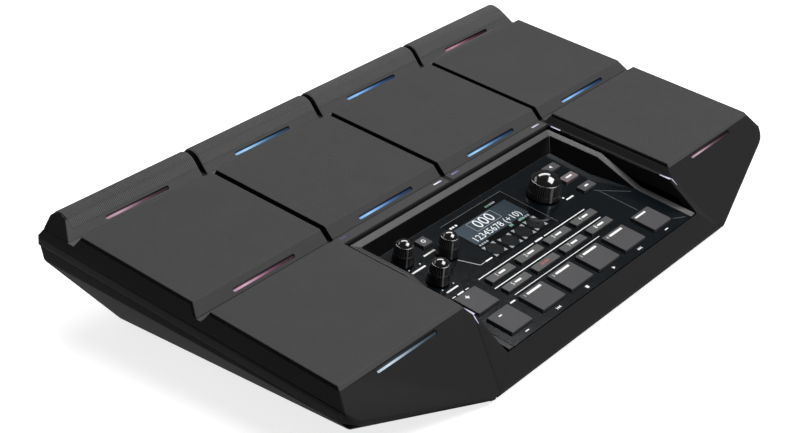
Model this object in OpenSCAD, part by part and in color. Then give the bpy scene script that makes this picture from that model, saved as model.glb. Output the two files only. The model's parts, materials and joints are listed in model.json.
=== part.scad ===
// Electronic percussion pad: a table-top wedge with four ribbed bars, six flat pads and a sunken
// control panel. +X is the player's right, +Y the rear, +Z up. The origin is on the table, below the
// middle of the case. The playing surface is drawn in its own tilted frame: x, v to the rear, h up.

/* [Playing surface] */
// Distance between the centres of neighbouring pads
pad_pitch = 113.3; // [105:0.1:122]
// Gap between neighbouring pads
pad_gap = 3.7; // [2:0.1:6]
// Depth of the flat top of a middle pad
mid_depth = 91.5; // [80:0.5:105]
// Depth of the flat top of a front pad
front_depth = 94; // [85:0.5:105]
// Height of the pad tops above the floor of the valleys
deck_drop = 6.6; // [5.8:0.1:8]
// Run of the slope in front of a middle pad
slope_run = 7.5; // [6:0.5:10]
// Run of the slope behind a pad
back_run = 3; // [2:0.5:5]
// Floor width of the valley between middle and front pads
valley_w = 3.3; // [2:0.1:6]
// Floor width of the valley between bars and middle pads
bar_valley_w = 4; // [3:0.5:9]
// Depth of a bar at its foot
bar_depth = 22.5; // [18:0.5:26]
// Radius of a bar's round top
bar_r = 8; // [7:0.1:9]
// Height of the centre of a bar's round top above the pad tops
bar_rise = -2.6; // [-4:0.1:0]
// Distance of the round top's centre from the back of a bar
bar_top_in = 7.5; // [7:0.1:9]
// Tilt of the playing surface, rear side up
pad_tilt = 5.9; // [3:0.1:9]
// Height of the rear edge of the middle pads above the table
pad_height = 65.8; // [63:0.1:75]
// Thickness of a pad's rubber skin at its rim
pad_skin = 2; // [1.5:0.1:3]
// Depth of the rubber plug below a pad's skin
pad_plug = 3.2; // [2.5:0.1:4]
// Width of the rim that carries a pad's skin
pad_rim = 8; // [5:0.5:14]
// Thickness of the steel plate below a pad
plate_t = 1.2; // [0.8:0.1:1.6]
// Diameter of a pad's piezo disc
piezo_d = 27; // [20:1:35]
// Thickness of a piezo disc
piezo_t = 0.5; // [0.3:0.1:0.8]
// Width of the steel strip below a bar
strip_w = 9; // [6:0.5:12]
// Distance of a steel strip from the ends of its bar
strip_end = 12; // [6:0.5:20]
// Diameter of a bar's piezo disc
bar_piezo_d = 8; // [5:0.5:10]
// Angle at which a bar's round top starts, above its front slope
bar_start = 136; // [125:1:150]
// Angle at which a bar's round top ends, above its back slope
bar_end = 30; // [20:1:40]
// Gap between the rubber and what it covers
soft_gap = 0.3; // [0.2:0.05:0.5]

/* [Case] */
// Overhang of the belt line beyond the edge of the pad tops
belt_out = 7; // [4:0.5:10]
// Depth of the belt line below the pad tops
belt_drop = 11.2; // [10.5:0.1:14]
// Height of the upright band below the belt line
band_h = 5.6; // [4:0.1:8]
// Overhang of the belt line behind the bars
belt_back = 2; // [1:0.5:4]
// Slope of the front faces, down from the playing surface
chamfer = 40.5; // [36:0.5:46]
// Distance from the front pads' edge to the case's front line
nose_run = 42.4; // [38:0.2:48]
// Half width of the straight front line
nose_half = 134; // [125:1:150]
// Distance from the front pads' edge to the start of the angled front corners
shoulder_run = 15; // [12:0.5:20]
// Drop of the seam at the front line
nose_seam = 37.4; // [36.6:0.1:38.5]
// Depth of the lip in front of the panel
lip_w = 10.4; // [8:0.1:12]
// Half width of the lip's front edge
lip_half = 127.75; // [122:0.25:129]
// Height of the lip's edge above the front faces
lip_proud = 1; // [0.5:0.1:2]
// Wall of both case shells
wall = 2.5; // [2:0.1:3.5]
// Thickness of the deck below the valleys
deck_t = 3; // [2.5:0.1:4]
// Gap of the seam between the shells
seam_gap = 0.3; // [0.2:0.05:0.6]
// Radius of the rear corners
rear_r = 1.5; // [1:0.5:10]
// Radius of the shoulder corners
shoulder_r = 12; // [6:1:20]
// Radius of the front corners
nose_r = 25; // [10:1:40]
// Depth of the grooves between pads below the pad tops
groove_drop = 8.2; // [7.5:0.1:9]

/* [Base] */
// Width of the flat underside
base_w = 414; // [390:1:425]
// Distance of the underside from the rear of the case
base_rear = 41; // [36:1:50]
// Distance of the underside's side corners from the front of the case
base_shoulder = 46; // [40:1:60]
// Distance of the underside from the front of the case
base_front = 8; // [6:1:20]
// Half width of the underside's front edge
base_nose = 126; // [100:1:128]
// Height of the upright skirt below the seam at the rear
skirt_h = 11; // [8:0.5:14]
// Draw-in of the skirt's foot at the sides and at the rear
skirt_in = [1, 2]; // [0.5:0.1:3]
// Thickness of the underside
base_t = 3.2; // [3:0.1:4]
// Inset of the base below the upper shell
base_inset = 0.8; // [0.3:0.1:1.5]
// Height of a rubber foot
foot_h = 3.5; // [2.5:0.1:5]
// Diameter of a rubber foot
foot_d = 20; // [14:1:26]
// Distance of the feet from the sides of the underside
foot_side = 27; // [17:1:50]
// Front-to-rear spacing of the feet
foot_dy = 150; // [130:2:156]
// Rear feet's distance from the rear of the case
foot_rear = 56; // [54:1:62]
// Side spacing of the stand holes
stand_dx = 120; // [90:1:140]
// Front-to-rear spacing of the stand holes
stand_dy = 80; // [60:1:90]
// Bore of a threaded stand insert
stand_bore = 5; // [4:0.1:6]
// Outer diameter of a stand insert
stand_d = 9; // [8:0.1:10]
// Length of a stand insert
stand_len = 10; // [8:0.5:12]
// Wall of a stand insert's boss
stand_wall = 2; // [1.5:0.1:3]
// Distance of the stand holes' centre from the rear of the case
stand_rear = 158; // [150:1:166]

/* [Screws] */
// Shank diameter of a case screw
screw_d = 2.8; // [2.5:0.1:3.2]
// Head diameter of a case screw
head_d = 6; // [5:0.1:7]
// Head height of a case screw
head_h = 1.7; // [1.4:0.1:2]
// Length of a case screw below its head
screw_len = 12; // [10:1:16]
// Sink of a screw's head below the underside
head_sink = 0.2; // [0.1:0.1:0.6]
// Spare depth of a screw's hole
hole_spare = 1; // [0.5:0.1:2]
// Slack around what passes through a hole
hole_slack = 0.4; // [0.2:0.05:0.6]
// Diameter of a screw post
post_d = 8; // [7:0.5:10]
// Half spacing of the screw posts to the sides
post_half = 194; // [188:1:198]
// Distances of the screw posts from the rear of the case
post_rows = [62, 140, 214]; // [50:1:225]

/* [Control well] */
// Width of the flat rim behind the well
rim_w = 7.8; // [6:0.2:10]
// Half width between the front pads' inner edges
inner_half = 117.2; // [114:0.2:122]
// Run of the slope beside the well
inner_run = 5.2; // [4:0.2:7]
// Half width of the well
well_half = 109.5; // [108:0.1:111]
// Gap between the well and its bezel
bezel_gap = 2.2; // [1.4:0.1:3]
// Width of the bezel's upper face
bezel_w = 5; // [4:0.1:6]
// Drop of the bezel's outer edge
bezel_drop = 7.5; // [7:0.1:8.5]
// Drop of the bezel's upper face from its outer to its inner edge
bezel_fall = 1.2; // [0.8:0.1:3]
// Lean of the bezel's inner face
bezel_lean = 40; // [30:1:46]
// Length of the bezel's high stretch, from its rear edge
bezel_high = 45; // [30:1:60]
// Length of the bezel's ramp
bezel_ramp = 34; // [15:1:40]
// Height of the bezel's low stretch above the panel
bezel_low = 0.8; // [0.3:0.1:1.5]
// Drop of the panel's rear edge
panel_drop = 16.9; // [16:0.1:18]
// Further tilt of the panel
panel_pitch = 2.1; // [1.5:0.1:2.6]
// Thickness of the panel
panel_t = 2.5; // [2:0.1:3]
// Width of the ledge that carries the panel
ledge_w = 5; // [4:0.5:5.5]
// Gap around the panel
panel_gap = 0.3; // [0.2:0.05:0.5]
// Distance of the panel board below the panel's face
board_drop = 9.2; // [9:0.1:10.5]
// Thickness of the boards
board_t = 1.6; // [1:0.1:2]
// Margin of the panel board inside the ledge
board_margin = 2; // [1:0.5:4]
// Diameter of the panel board's posts
board_post_d = 5; // [4:0.5:6]

/* [Keys] */
// Distance of the left key column from the panel's left edge
key_left = 18.2; // [17:0.1:19.5]
// Distance of the right key column from the panel's right edge
key_right = 25; // [22:0.1:26.5]
// Extra gap between the outer key columns and their neighbours
key_extra = 5; // [3:0.1:7]
// Width and depth of a function key
func_size = [25.2, 6.3]; // [5:0.1:27]
// Width and depth of a track key
track_size = [24.2, 18.9]; // [14:0.1:27]
// Width and depth of an outer square key
square_size = [21, 19.2]; // [14:0.1:23]
// Width and depth of a menu key
menu_size = [14.6, 6.9]; // [5:0.1:18]
// Width and depth of the click key
click_size = [9, 8.4]; // [6:0.1:11]
// Distances of the two rows of function keys from the panel's rear edge
func_rows = [69, 81.3]; // [66:0.1:83]
// Distance of the row of track keys
track_row = 100.2; // [98:0.1:102]
// Distance of the plus key
plus_row = 75.6; // [73:0.1:77]
// Distances of the menu keys
menu_rows = [19.1, 34.2, 48.6]; // [15:0.1:52]
// Distance of the menu keys from the panel's right edge
menu_x = 24.5; // [23:0.1:27]
// Place of the click key, from the panel's left and rear edges
click_at = [42.3, 15.8]; // [14:0.1:46]
// Height of a key above the panel
key_h = 1.8; // [1:0.1:2.5]
// Travel of a key
key_travel = 1; // [0.6:0.1:1.2]
// Corner radius of a key
key_r = 0.7; // [0.3:0.1:1.2]
// Gap around a key
key_gap = 0.3; // [0.2:0.05:0.5]
// Reach of a key's front and rear lips below the panel
key_flange = 1; // [0.6:0.1:1.4]
// Thickness of a key's lips
flange_t = 1; // [0.8:0.1:1.2]
// Play of a key's lips below the panel
flange_play = 0.2; // [0.1:0.05:0.4]
// Height of a key switch
switch_h = 2.3; // [2:0.1:2.6]
// Width of a key switch
switch_w = 5; // [4:0.1:6]
// Diameter of a key's stem
stem_d = 3; // [2:0.1:4]

/* [Knobs] */
// Places of the three level knobs, from the panel's left and rear edges
level_at = [[16, 20], [44.5, 33], [17.2, 47]]; // [15:0.1:52]
// Skirt diameter of a level knob
level_d = 14.6; // [12:0.1:15]
// Top diameter of a level knob
level_top_d = 11.6; // [9:0.1:12.5]
// Height of a level knob
level_h = 17; // [13:0.1:18]
// Height of a level knob's grip
level_grip = 6; // [4:0.5:8]
// Height of a level knob's domed top
level_dome = 3.8; // [0.5:0.1:5]
// Place of the data knob, from the panel's right and rear edges
data_at = [55.6, 34.7]; // [30:0.1:60]
// Skirt diameter of the data knob
data_d = 23.2; // [20:0.1:26]
// Top diameter of the data knob
data_top_d = 19.8; // [17:0.1:22]
// Height of the data knob
data_h = 18.8; // [16:0.1:22]
// Height of the data knob's grip
data_grip = 6.5; // [5:0.5:11]
// Height of the data knob's domed top
data_dome = 6; // [1:0.1:7]
// Push travel of the data knob
data_push = 0.6; // [0.3:0.1:0.8]
// Gap of the knobs above the panel
knob_gap = 0.9; // [0.9:0.1:1.5]
// Diameter of the knob shafts
shaft_d = 6; // [5:0.1:6.2]
// Outer diameter of a shaft's bushing
bushing_d = 8; // [7.6:0.1:8.6]
// Height of a bushing above the panel
bushing_h = 4; // [3:0.1:5]
// Thickness of a knob above its shaft
cap_t = 3; // [2.5:0.1:4]
// Clearance of a knob on its shaft
knob_fit = 0.03; // [0.01:0.01:0.05]
// Height of a potentiometer body
pot_h = 5; // [4.5:0.1:6]
// Thickness of a potentiometer's floor
pot_floor = 1; // [0.8:0.1:1.2]
// Height of the encoder's plunger
plunger_h = 1.5; // [1:0.1:1.8]
// Width of the plunger's rim around the shaft
plunger_rim = 0.8; // [0.5:0.1:1]
// Width of a potentiometer body
pot_w = 10; // [9:0.1:12]
// Width of the encoder body
encoder_w = 14; // [12:0.1:16]
// Running clearance of a shaft in its bushing
run_gap = 0.05; // [0.02:0.01:0.09]
// Turn of the pointer lines, clockwise from straight to the front
pointer_turn = 32; // [0:1:45]
// Width of a pointer line
pointer_w = 1; // [0.6:0.1:1.6]
// Height of a pointer line above the skirt
pointer_proud = 0.25; // [0.1:0.05:0.5]

/* [Display] */
// Width of the display window
lens_w = 63; // [58:0.5:66]
// Depth of the display window
lens_d = 46; // [42:0.5:48]
// Sideways place of the display window
lens_x = -4.5; // [-6:0.1:-3]
// Distance of the window from the panel's rear edge
lens_row = 12.4; // [10:0.1:14]
// Thickness of the display window
lens_t = 1.5; // [1:0.1:2]
// Gap around the display window
lens_gap = 0.15; // [0.1:0.01:0.3]
// Margin of the display module inside the window
module_margin = 2; // [1:0.1:4]

/* [Lights] */
// Length of a light bar
light_len = 53; // [40:0.5:60]
// Width of a light bar
light_w = 2.4; // [1.6:0.1:3]
// Depth of a light bar
light_t = 1.8; // [1.4:0.1:2.6]
// Sink of a light bar's face below the surface around it
light_sink = 0.8; // [0.4:0.1:1]
// Gap around a light bar
light_gap = 0.1; // [0.05:0.01:0.2]
// Depth of the light bars below the pad tops on the slopes
light_drop = 4; // [3:0.1:4.4]
// Depth of the light bars below the pad tops on the bars
light_bar_drop = 3.7; // [3:0.1:4]
// Depth of the light bars below the pad tops on the front faces
light_front_drop = 3.6; // [3.2:0.1:5]
// Length of a corner light
glint_len = 8; // [5:0.5:10]
// Width of a corner light
glint_w = 1.2; // [0.8:0.1:1.5]
// Depth of a corner light
glint_t = 1.5; // [1:0.1:2]
// Distance of the rim's corner lights from the foot of the pads
glint_in = 2.4; // [1.5:0.1:4]
// Distance of the corner lights beside the well from its edge
glint_edge = 1.25; // [1:0.05:1.7]
// Distances of the rim's corner lights from the middle
glint_x = [9.5, 103]; // [8:0.5:105]

/* [Sockets] */
// Distance of the socket wall from the rear of the case
pocket_in = 37; // [34:0.5:39]
// Width of the socket pocket
pocket_w = 300; // [290:1:320]
// Height of the pocket's ceiling above the table
pocket_top = 38.5; // [37:0.1:39.5]
// Height of the pocket's floor above the table
pocket_floor = 9; // [8:0.1:11]
// Height of the socket axes above the table
socket_z = 24; // [22:0.1:25]
// Places of the audio jacks
jack_x = [-125, -99, -73, -47, -21, 5]; // [-130:1:15]
// Bore diameter of an audio jack
jack_bore = 6.4; // [6.3:0.01:6.6]
// Nose diameter of an audio jack
jack_nose = 11; // [10:0.1:12]
// Depth of an audio jack
jack_len = 28; // [24:1:32]
// Back wall of an audio jack
jack_back = 2; // [1:0.5:4]
// Length of an audio jack's nose outside its wall
jack_out = 2; // [1:0.1:3]
// Width of an audio jack's body
jack_w = 15; // [13:0.5:18]
// Place of the data socket
usb_x = 45; // [40:1:50]
// Inner width and height of the data socket
usb_size = [8.5, 7.8]; // [6:0.1:12]
// Depth of the data socket's cavity
usb_depth = 9; // [7:0.5:12]
// Wall of the data socket
usb_wall = 1.5; // [0.8:0.1:2]
// Length of the data socket behind its cavity
usb_back = 7.5; // [4:0.5:10]
// Place of the power inlet
inlet_x = 80; // [74:1:86]
// Bore of the power inlet
inlet_bore = 5.7; // [5.5:0.1:6]
// Depth of the power inlet's bore
inlet_depth = 9; // [8:0.5:11]
// Wall of the power inlet
inlet_wall = 1.5; // [1:0.1:2.5]
// Length of the power inlet behind its bore
inlet_back = 6.5; // [4:0.5:10]
// Diameter of the power inlet's pin
inlet_pin = 2; // [1.6:0.1:2.6]
// Place of the power button
power_x = 115; // [108:1:122]
// Diameter of the power button
power_d = 9; // [7:0.1:11]
// Length of the power button
power_len = 12; // [9:0.5:14]
// Length of the pressed power button outside its wall
power_out = 1; // [0.5:0.1:2]
// Travel of the power button
power_travel = 2; // [1:0.1:2.5]
// Length of the power switch
power_switch_len = 10; // [8:0.5:14]
// Gap around the sockets in their wall
socket_gap = 0.3; // [0.2:0.05:0.5]
// Depth of the main board
board_depth = 65; // [55:1:75]
// Overhang of the main board beyond the ends of the pocket
board_over = 5; // [3:1:12]
// Diameter of the main board's posts
main_post_d = 8; // [6:0.5:9]
// Distance of the posts from the main board's ends and long edges
main_post_in = [10, 12]; // [8:1:16]

/* [Hidden] */
FUNC = [for (i = [1:8]) str("function_key_", i)];
TRACK = [for (i = [1:5]) str("track_key_", i)];
MENU = [for (i = [1:3]) str("menu_key_", i)];
LEVEL = [for (i = [1:3]) str("level_knob_", i)];
SHAFT = [for (i = [1:3]) str("level_shaft_", i)];
BAR = [for (i = [1:4]) str("bar_pad_", i)];
MID = [for (i = [1:4]) str("mid_pad_", i)];
FRONT = ["front_pad_left", "front_pad_right"];
$fn = 48;
far = 400;
eps = 0.01;
// Length by which a cut runs past what it opens
clear = 20;
arc_steps = 6;
SIDES = [-1, 1];
// Index of the middle of a row of four
mid_index = 1.5;

// Colours
case_black = "#2b2b2d";
rubber_black = "#3a3a3c";
gloss_black = "#101216";
key_grey = "#77777a";
knob_black = "#1a1a1c";
board_green = "#1f5a3a";
steel = "silver";
brass = "goldenrod";
socket_black = "#18181a";
foot_black = "#111111";

// Lines of the playing surface, from rear to front
pad_w = pad_pitch - pad_gap;
pad_half = 2 * pad_pitch - pad_gap / 2;
v_bar_foot = back_run + bar_valley_w;
v_bar_back = v_bar_foot + bar_depth;
v_rear = v_bar_back + belt_back;
v_mid_front = -mid_depth;
v_mid_foot = v_mid_front - slope_run;
v_front_foot = v_mid_foot - valley_w;
v_front_rear = v_front_foot - back_run;
v_edge = v_front_rear - front_depth;
v_shoulder = v_edge - shoulder_run;
v_nose = v_edge - nose_run;
belt_half = pad_half + belt_out;
seam_drop = belt_drop + band_h;
nose_drop = nose_run * tan(chamfer);
lip_edge = nose_drop - lip_proud;
seam_rise = (nose_seam - seam_drop) / (nose_run - shoulder_run);
ceiling = deck_drop + deck_t;
draft = belt_out / belt_drop;

// Frame of the playing surface and of the table
sin_t = sin(pad_tilt);
cos_t = cos(pad_tilt);
rear_reach = v_rear * cos_t + seam_drop * sin_t;
front_reach = v_nose * cos_t + lip_edge * sin_t;
pad_y = -(rear_reach + front_reach) / 2;
rear_y = (rear_reach - front_reach) / 2;
base_y = rear_y - base_rear;

// Lines of the well and its panel
v_well = v_mid_foot - rim_w;
v_bezel = v_well - bezel_gap;
v_bezel_in = v_bezel - bezel_w;
bezel_half = well_half - bezel_gap;
bezel_in = bezel_half - bezel_w;
v_panel = v_bezel_in - panel_gap;
panel_half = bezel_in - panel_gap;
v_lip = v_nose + lip_w;
panel_d = (v_panel - v_lip) / cos(panel_pitch) - panel_gap;
lip_top = panel_drop + (v_panel - v_lip) * tan(panel_pitch);
bezel_foot = lip_top + panel_t;
tub_floor = panel_t + wall;
board_edge = ledge_w + board_margin;
board_half = panel_half - board_edge;
board_d = panel_d - 2 * board_edge;
stem_drop = board_drop - switch_h - key_travel - key_gap;
flange_drop = panel_t + flange_play;

// Places of the keys and knobs: x, distance from the panel's rear edge
left_x = key_left - panel_half;
right_x = panel_half - key_right;
key_space = right_x - left_x - square_size.x - 2 * key_extra;
key_between = (key_space - 4 * func_size.x) / 5;
key_pitch = func_size.x + key_between;
first_x = left_x + (square_size.x - func_size.x) / 2 + key_extra + key_pitch;
columns = [for (i = [0:3]) first_x + i * key_pitch];
func_at = [for (r = func_rows, x = columns) [x, r]];
track_at = concat([for (x = columns) [x, track_row]], [[right_x, track_row]]);
menu_at = [for (r = menu_rows) [panel_half - menu_x, r]];
plus_at = [left_x, plus_row];
minus_at = [left_x, track_row];
click_place = [click_at.x - panel_half, click_at.y];
level_places = [for (p = level_at) [p.x - panel_half, p.y]];
data_place = [panel_half - data_at.x, data_at.y];
keys = concat(
    [for (p = func_at) [p, func_size]],
    [for (i = [0:3]) [track_at[i], track_size]], [[track_at[4], square_size]],
    [for (p = menu_at) [p, menu_size]],
    [[plus_at, square_size], [minus_at, square_size], [click_place, click_size]]);
// Posts of the panel board: two at its rear corners, two between the outer key columns
post_edge = board_edge + board_post_d / 2;
board_posts = concat(
    [for (s = SIDES) [s * (panel_half - post_edge), post_edge]],
    [[(left_x + columns[0]) / 2, track_row], [(right_x + columns[3]) / 2, track_row]]);

// Middles of the pads and lights: x places
pad_x = [for (i = [0:3]) (i - mid_index) * pad_pitch];
// Run of a middle pad's skin across its front slope
slope_skin = pad_skin / sin(atan2(deck_drop, slope_run));
// Depth of the pockets below the pads
pocket_drop = pad_skin + pad_plug + plate_t + piezo_t;
// Lines of a bar: middle, start of its round top, room for its strip
bar_mid_v = v_bar_foot + bar_depth / 2;
bar_top_v = v_bar_back - bar_top_in;
bar_front_v = bar_top_v + bar_r * cos(bar_start);
bar_front_h = bar_rise + bar_r * sin(bar_start);
strip_len = pad_w - 2 * strip_end;
strip_room = plate_t + piezo_t;

// Knobs, from the board upwards
pot_drop = board_drop - pot_h;
shaft_r = shaft_d / 2;
bore_r = shaft_r + run_gap;
plunger_r = shaft_r + plunger_rim;
plunger_rest = pot_floor + data_push + key_gap;
plunger_top = plunger_rest + plunger_h;

// Base, sockets and what stands on the underside
rear_seam_z = pad_height + v_rear * sin_t - (seam_drop + seam_gap) * cos_t;
skirt_z = rear_seam_z - skirt_h;
pocket_y = rear_y - pocket_in;
socket_y = pocket_y - wall;
board_z = socket_z - jack_w / 2;
floor_z = foot_h + base_t;
post_places = [for (s = SIDES, r = post_rows) [s * post_half, rear_y - r]];
stand_places = [for (s = SIDES, t = SIDES)
    [s * stand_dx / 2, rear_y - stand_rear + t * stand_dy / 2]];
foot_places = [for (s = SIDES, t = [0, 1])
    [s * (base_w / 2 - foot_side), rear_y - foot_rear - t * foot_dy]];
main_half = pocket_w / 2 + board_over;
main_posts = [for (s = SIDES, t = [0, 1])
    [s * (main_half - main_post_in.x), socket_y - main_post_in.y - t * (board_depth - 2 * main_post_in.y)]];
countersink = head_h + head_sink;
inlet_nose_r = inlet_bore / 2 + inlet_wall;
usb_shell = [usb_size.x + 2 * usb_wall, usb_size.y + 2 * usb_wall];
power_tip = wall + power_travel + power_out;
power_end = power_tip - power_len;

// Depth below the pad tops to a place along a slope
function back_v(v, d) = v + back_run * d / deck_drop;
function slope_v(d) = v_mid_front - slope_run * d / deck_drop;
function chamfer_v(d) = v_edge - d / tan(chamfer);
function side_x(d) = pad_half + draft * d;
function inner_x(d) = inner_half - inner_run * d / deck_drop;
// A point of the playing surface in the table's frame
function table(x, v, d) = [x, pad_y + v * cos_t + d * sin_t, pad_height + v * sin_t - d * cos_t];
// Height above the table of a depth below the pad tops, at a place y
function table_z(y, d) = pad_height - d * cos_t + (y - pad_y - d * sin_t) * tan(pad_tilt);
function arc(c, r, a0, a1) =
    [for (i = [0:arc_steps]) let (a = a0 + (a1 - a0) * i / arc_steps) c + r * [cos(a), sin(a)]];
// Round one corner of an outline
function unit(u) = u / norm(u);
function round_corner(a, b, c, r) =
    let (u = unit(a - b), w = unit(c - b), half = acos(u * w) / 2, m = b + unit(u + w) * r / sin(half))
    let (p = b + u * r / tan(half) - m, q = b + w * r / tan(half) - m)
    let (a0 = atan2(p.y, p.x), turn = atan2(p.x * q.y - p.y * q.x, p * q))
    arc(m, r, a0, a0 + turn);
function rounded(points, radii) = let (n = len(points))
    [for (i = [0:n - 1])
        each round_corner(points[(i + n - 1) % n], points[i], points[(i + 1) % n], radii[i])];
function box_points(w, d) = [[-w / 2, -d / 2], [w / 2, -d / 2], [w / 2, d / 2], [-w / 2, d / 2]];

module pad_frame() {
    translate([0, pad_y, pad_height]) rotate([pad_tilt, 0, 0]) children();
}
// The panel's face, inside the frame of the playing surface and by itself
module panel_space() {
    translate([0, v_panel, -panel_drop]) rotate([panel_pitch, 0, 0]) children();
}
module panel_frame() {
    pad_frame() panel_space() children();
}
// A place on the panel's face
module on_panel(at) {
    panel_frame() translate([at.x, -at.y, 0]) children();
}
// An outline in v and h drawn along x
module along_x(x0, x1, points) {
    translate([x0, 0, 0]) rotate([90, 0, 90]) linear_extrude(x1 - x0) polygon(points);
}
// An outline in x and h drawn along v
module along_v(v0, v1, points) {
    translate([0, v1, 0]) rotate([90, 0, 0]) linear_extrude(v1 - v0) polygon(points);
}
module rod(r, z0, z1) {
    translate([0, 0, z0]) cylinder(r = r, h = z1 - z0);
}
module slab(w, d, z0, z1) {
    translate([-w / 2, -d / 2, z0]) cube([w, d, z1 - z0]);
}
module round_slab(w, d, r, z0, z1) {
    translate([0, 0, z0]) linear_extrude(z1 - z0) polygon(rounded(box_points(w, d), [r, r, r, r]));
}

// Outline of the upper shell seen from above, drawn in by a wall
function plan_points(inset) =
    let (rise = (v_shoulder - v_nose) / (belt_half - nose_half), stretch = sqrt(1 + rise * rise))
    let (x = belt_half - inset, v = v_shoulder + (stretch - rise) * inset)
    let (n = nose_half - inset * (stretch - 1) / rise)
    [[x, v_rear - inset], [-x, v_rear - inset], [-x, v], [-n, v_nose + inset], [n, v_nose + inset], [x, v]];
plan_radii = [rear_r, rear_r, shoulder_r, nose_r, nose_r, shoulder_r];

// The upper shell's outside: profile, side draft and plan
module shell_outside() {
    intersection() {
        along_x(-far, far, [
            [v_rear, -seam_drop], [v_rear, -belt_drop], [v_bar_back, -deck_drop],
            [back_run, -deck_drop], [back_v(0, pad_skin), -pad_skin],
            [slope_v(pad_skin) + slope_skin, -pad_skin], [v_mid_foot + slope_skin, -deck_drop],
            [v_front_foot, -deck_drop], [back_v(v_front_rear, pad_skin), -pad_skin],
            [chamfer_v(pad_skin), -pad_skin], [v_nose, -nose_drop],
            [v_nose, -nose_seam], [v_shoulder, -seam_drop]]);
        along_v(-far, far, [
            [-belt_half, -far], [-belt_half, -belt_drop], [-side_x(0), 0],
            [side_x(0), 0], [belt_half, -belt_drop], [belt_half, -far]]);
        translate([0, 0, -far]) linear_extrude(2 * far) polygon(rounded(plan_points(0), plan_radii));
    }
}

// The hollow of the upper shell
module shell_hollow() {
    slant = wall / sin(chamfer);
    inside = side_x(ceiling) - wall * sqrt(1 + draft * draft);
    intersection() {
        along_x(-far, far, [
            [v_rear - wall, -far], [v_rear - wall, -belt_drop - wall], [v_bar_back - wall, -ceiling],
            [chamfer_v(ceiling) + slant, -ceiling], [chamfer_v(far) + slant, -far]]);
        along_v(-far, far, [
            [-belt_half + wall, -far], [-belt_half + wall, -belt_drop - wall], [-inside, -ceiling],
            [inside, -ceiling], [belt_half - wall, -belt_drop - wall], [belt_half - wall, -far]]);
        translate([0, 0, -far]) linear_extrude(2 * far)
            polygon(rounded(plan_points(wall), [for (r = plan_radii) max(r - wall, wall / 5)]));
    }
}

// Space above the rim and between the front pads, open to the front
module well_upper() {
    along_v(-far, v_mid_foot, [
        [-inner_x(deck_drop), -deck_drop], [inner_x(deck_drop), -deck_drop],
        [inner_x(-deck_drop), deck_drop], [-inner_x(-deck_drop), deck_drop]]);
}
// Space of the well down to the ledge below the panel
module well_lower() {
    intersection() {
        along_v(v_lip, v_well, [
            [-well_half, -far], [well_half, -far], [well_half, deck_drop], [-well_half, deck_drop]]);
        panel_space() slab(far, far, -panel_t, far);
    }
}
// Walls and ledge of the well inside the shell
module well_tub() {
    intersection() {
        shell_outside();
        along_v(-far, v_well + wall, [
            [-well_half - wall, -far], [well_half + wall, -far],
            [well_half + wall, 0], [-well_half - wall, 0]]);
        panel_space() slab(far, 2 * far, -tub_floor, far);
    }
}
// The lip in front of the panel, run out to the inner corners of the front faces
module front_lip() {
    hull() {
        along_x(-well_half, well_half, [
            [v_lip, -lip_top], [v_lip - eps, -lip_top],
            [v_lip - eps, -lip_top - wall], [v_lip, -lip_top - wall]]);
        along_x(-lip_half, lip_half, [
            [v_nose + eps, -lip_edge], [v_nose, -lip_edge],
            [v_nose, -nose_seam], [v_nose + wall, wall * seam_rise - nose_seam]]);
        for (s = SIDES) {
            translate([s * inner_x(deck_drop), chamfer_v(deck_drop), -deck_drop]) slab(eps, eps, -eps, 0);
        }
    }
}
// A light bar with round ends, below a surface at h = 0, and its slot
module light_shape(grow, h0, h1) {
    r = light_w / 2 + grow;
    reach = light_len / 2 - light_w / 2;
    translate([-reach, -r, h0]) cube([2 * reach, 2 * r, h1 - h0]);
    for (s = SIDES) {
        translate([s * reach, 0, 0]) rod(r, h0, h1);
    }
}
module light_bar() {
    light_shape(0, -light_sink - light_t, -light_sink);
}
module light_slot() {
    light_shape(light_gap, -light_sink - light_t - light_gap, light_sink);
}
module at_bar_light(x) {
    foot = atan2(deck_drop + bar_front_h, bar_front_v - v_bar_foot);
    v = v_bar_foot + (deck_drop - light_bar_drop) / tan(foot);
    translate([x, v, -light_bar_drop]) rotate([foot, 0, 0]) children();
}
module at_mid_light(x) {
    translate([x, slope_v(light_drop), -light_drop])
        rotate([atan2(deck_drop, slope_run), 0, 0]) children();
}
module at_front_light(x) {
    translate([x, chamfer_v(light_front_drop), -light_front_drop]) rotate([chamfer, 0, 0]) children();
}
module glint_shape(grow) {
    slab(glint_len + 2 * grow, glint_w + 2 * grow, -deck_drop - glint_t - grow, -deck_drop);
}
module glints(grow) {
    for (s = SIDES, x = glint_x) {
        translate([s * x, v_mid_foot - glint_in, 0]) glint_shape(grow);
    }
    for (s = SIDES, v = [v_front_rear - glint_len, chamfer_v(deck_drop) + (glint_len + glint_w) / 2]) {
        translate([s * (well_half + glint_edge), v, 0]) rotate([0, 0, 90]) glint_shape(grow);
    }
}
module at_slope_lights() {
    for (x = pad_x) {
        at_mid_light(x) children();
    }
    for (s = SIDES) {
        at_front_light(s * pad_x[3]) children();
    }
}

// Pockets below the pads, drawn smaller by a gap for what goes in
module mid_pocket(x, z0, z1, gap) {
    v = slope_v(pad_skin) + pad_rim;
    w = pad_w - 2 * pad_rim - 2 * gap;
    d = -pad_rim - v - 2 * gap;
    translate([x, -pad_rim - gap - d / 2, 0]) slab(w, d, z0, z1);
}
module front_pocket(s, z0, z1, gap) {
    x0 = inner_half + pad_rim;
    w = pad_half - pad_rim - x0 - 2 * gap;
    d = front_depth - 2 * pad_rim - 2 * gap;
    translate([s * (x0 + gap + w / 2), v_edge + pad_rim + gap + d / 2, 0]) slab(w, d, z0, z1);
}

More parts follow.
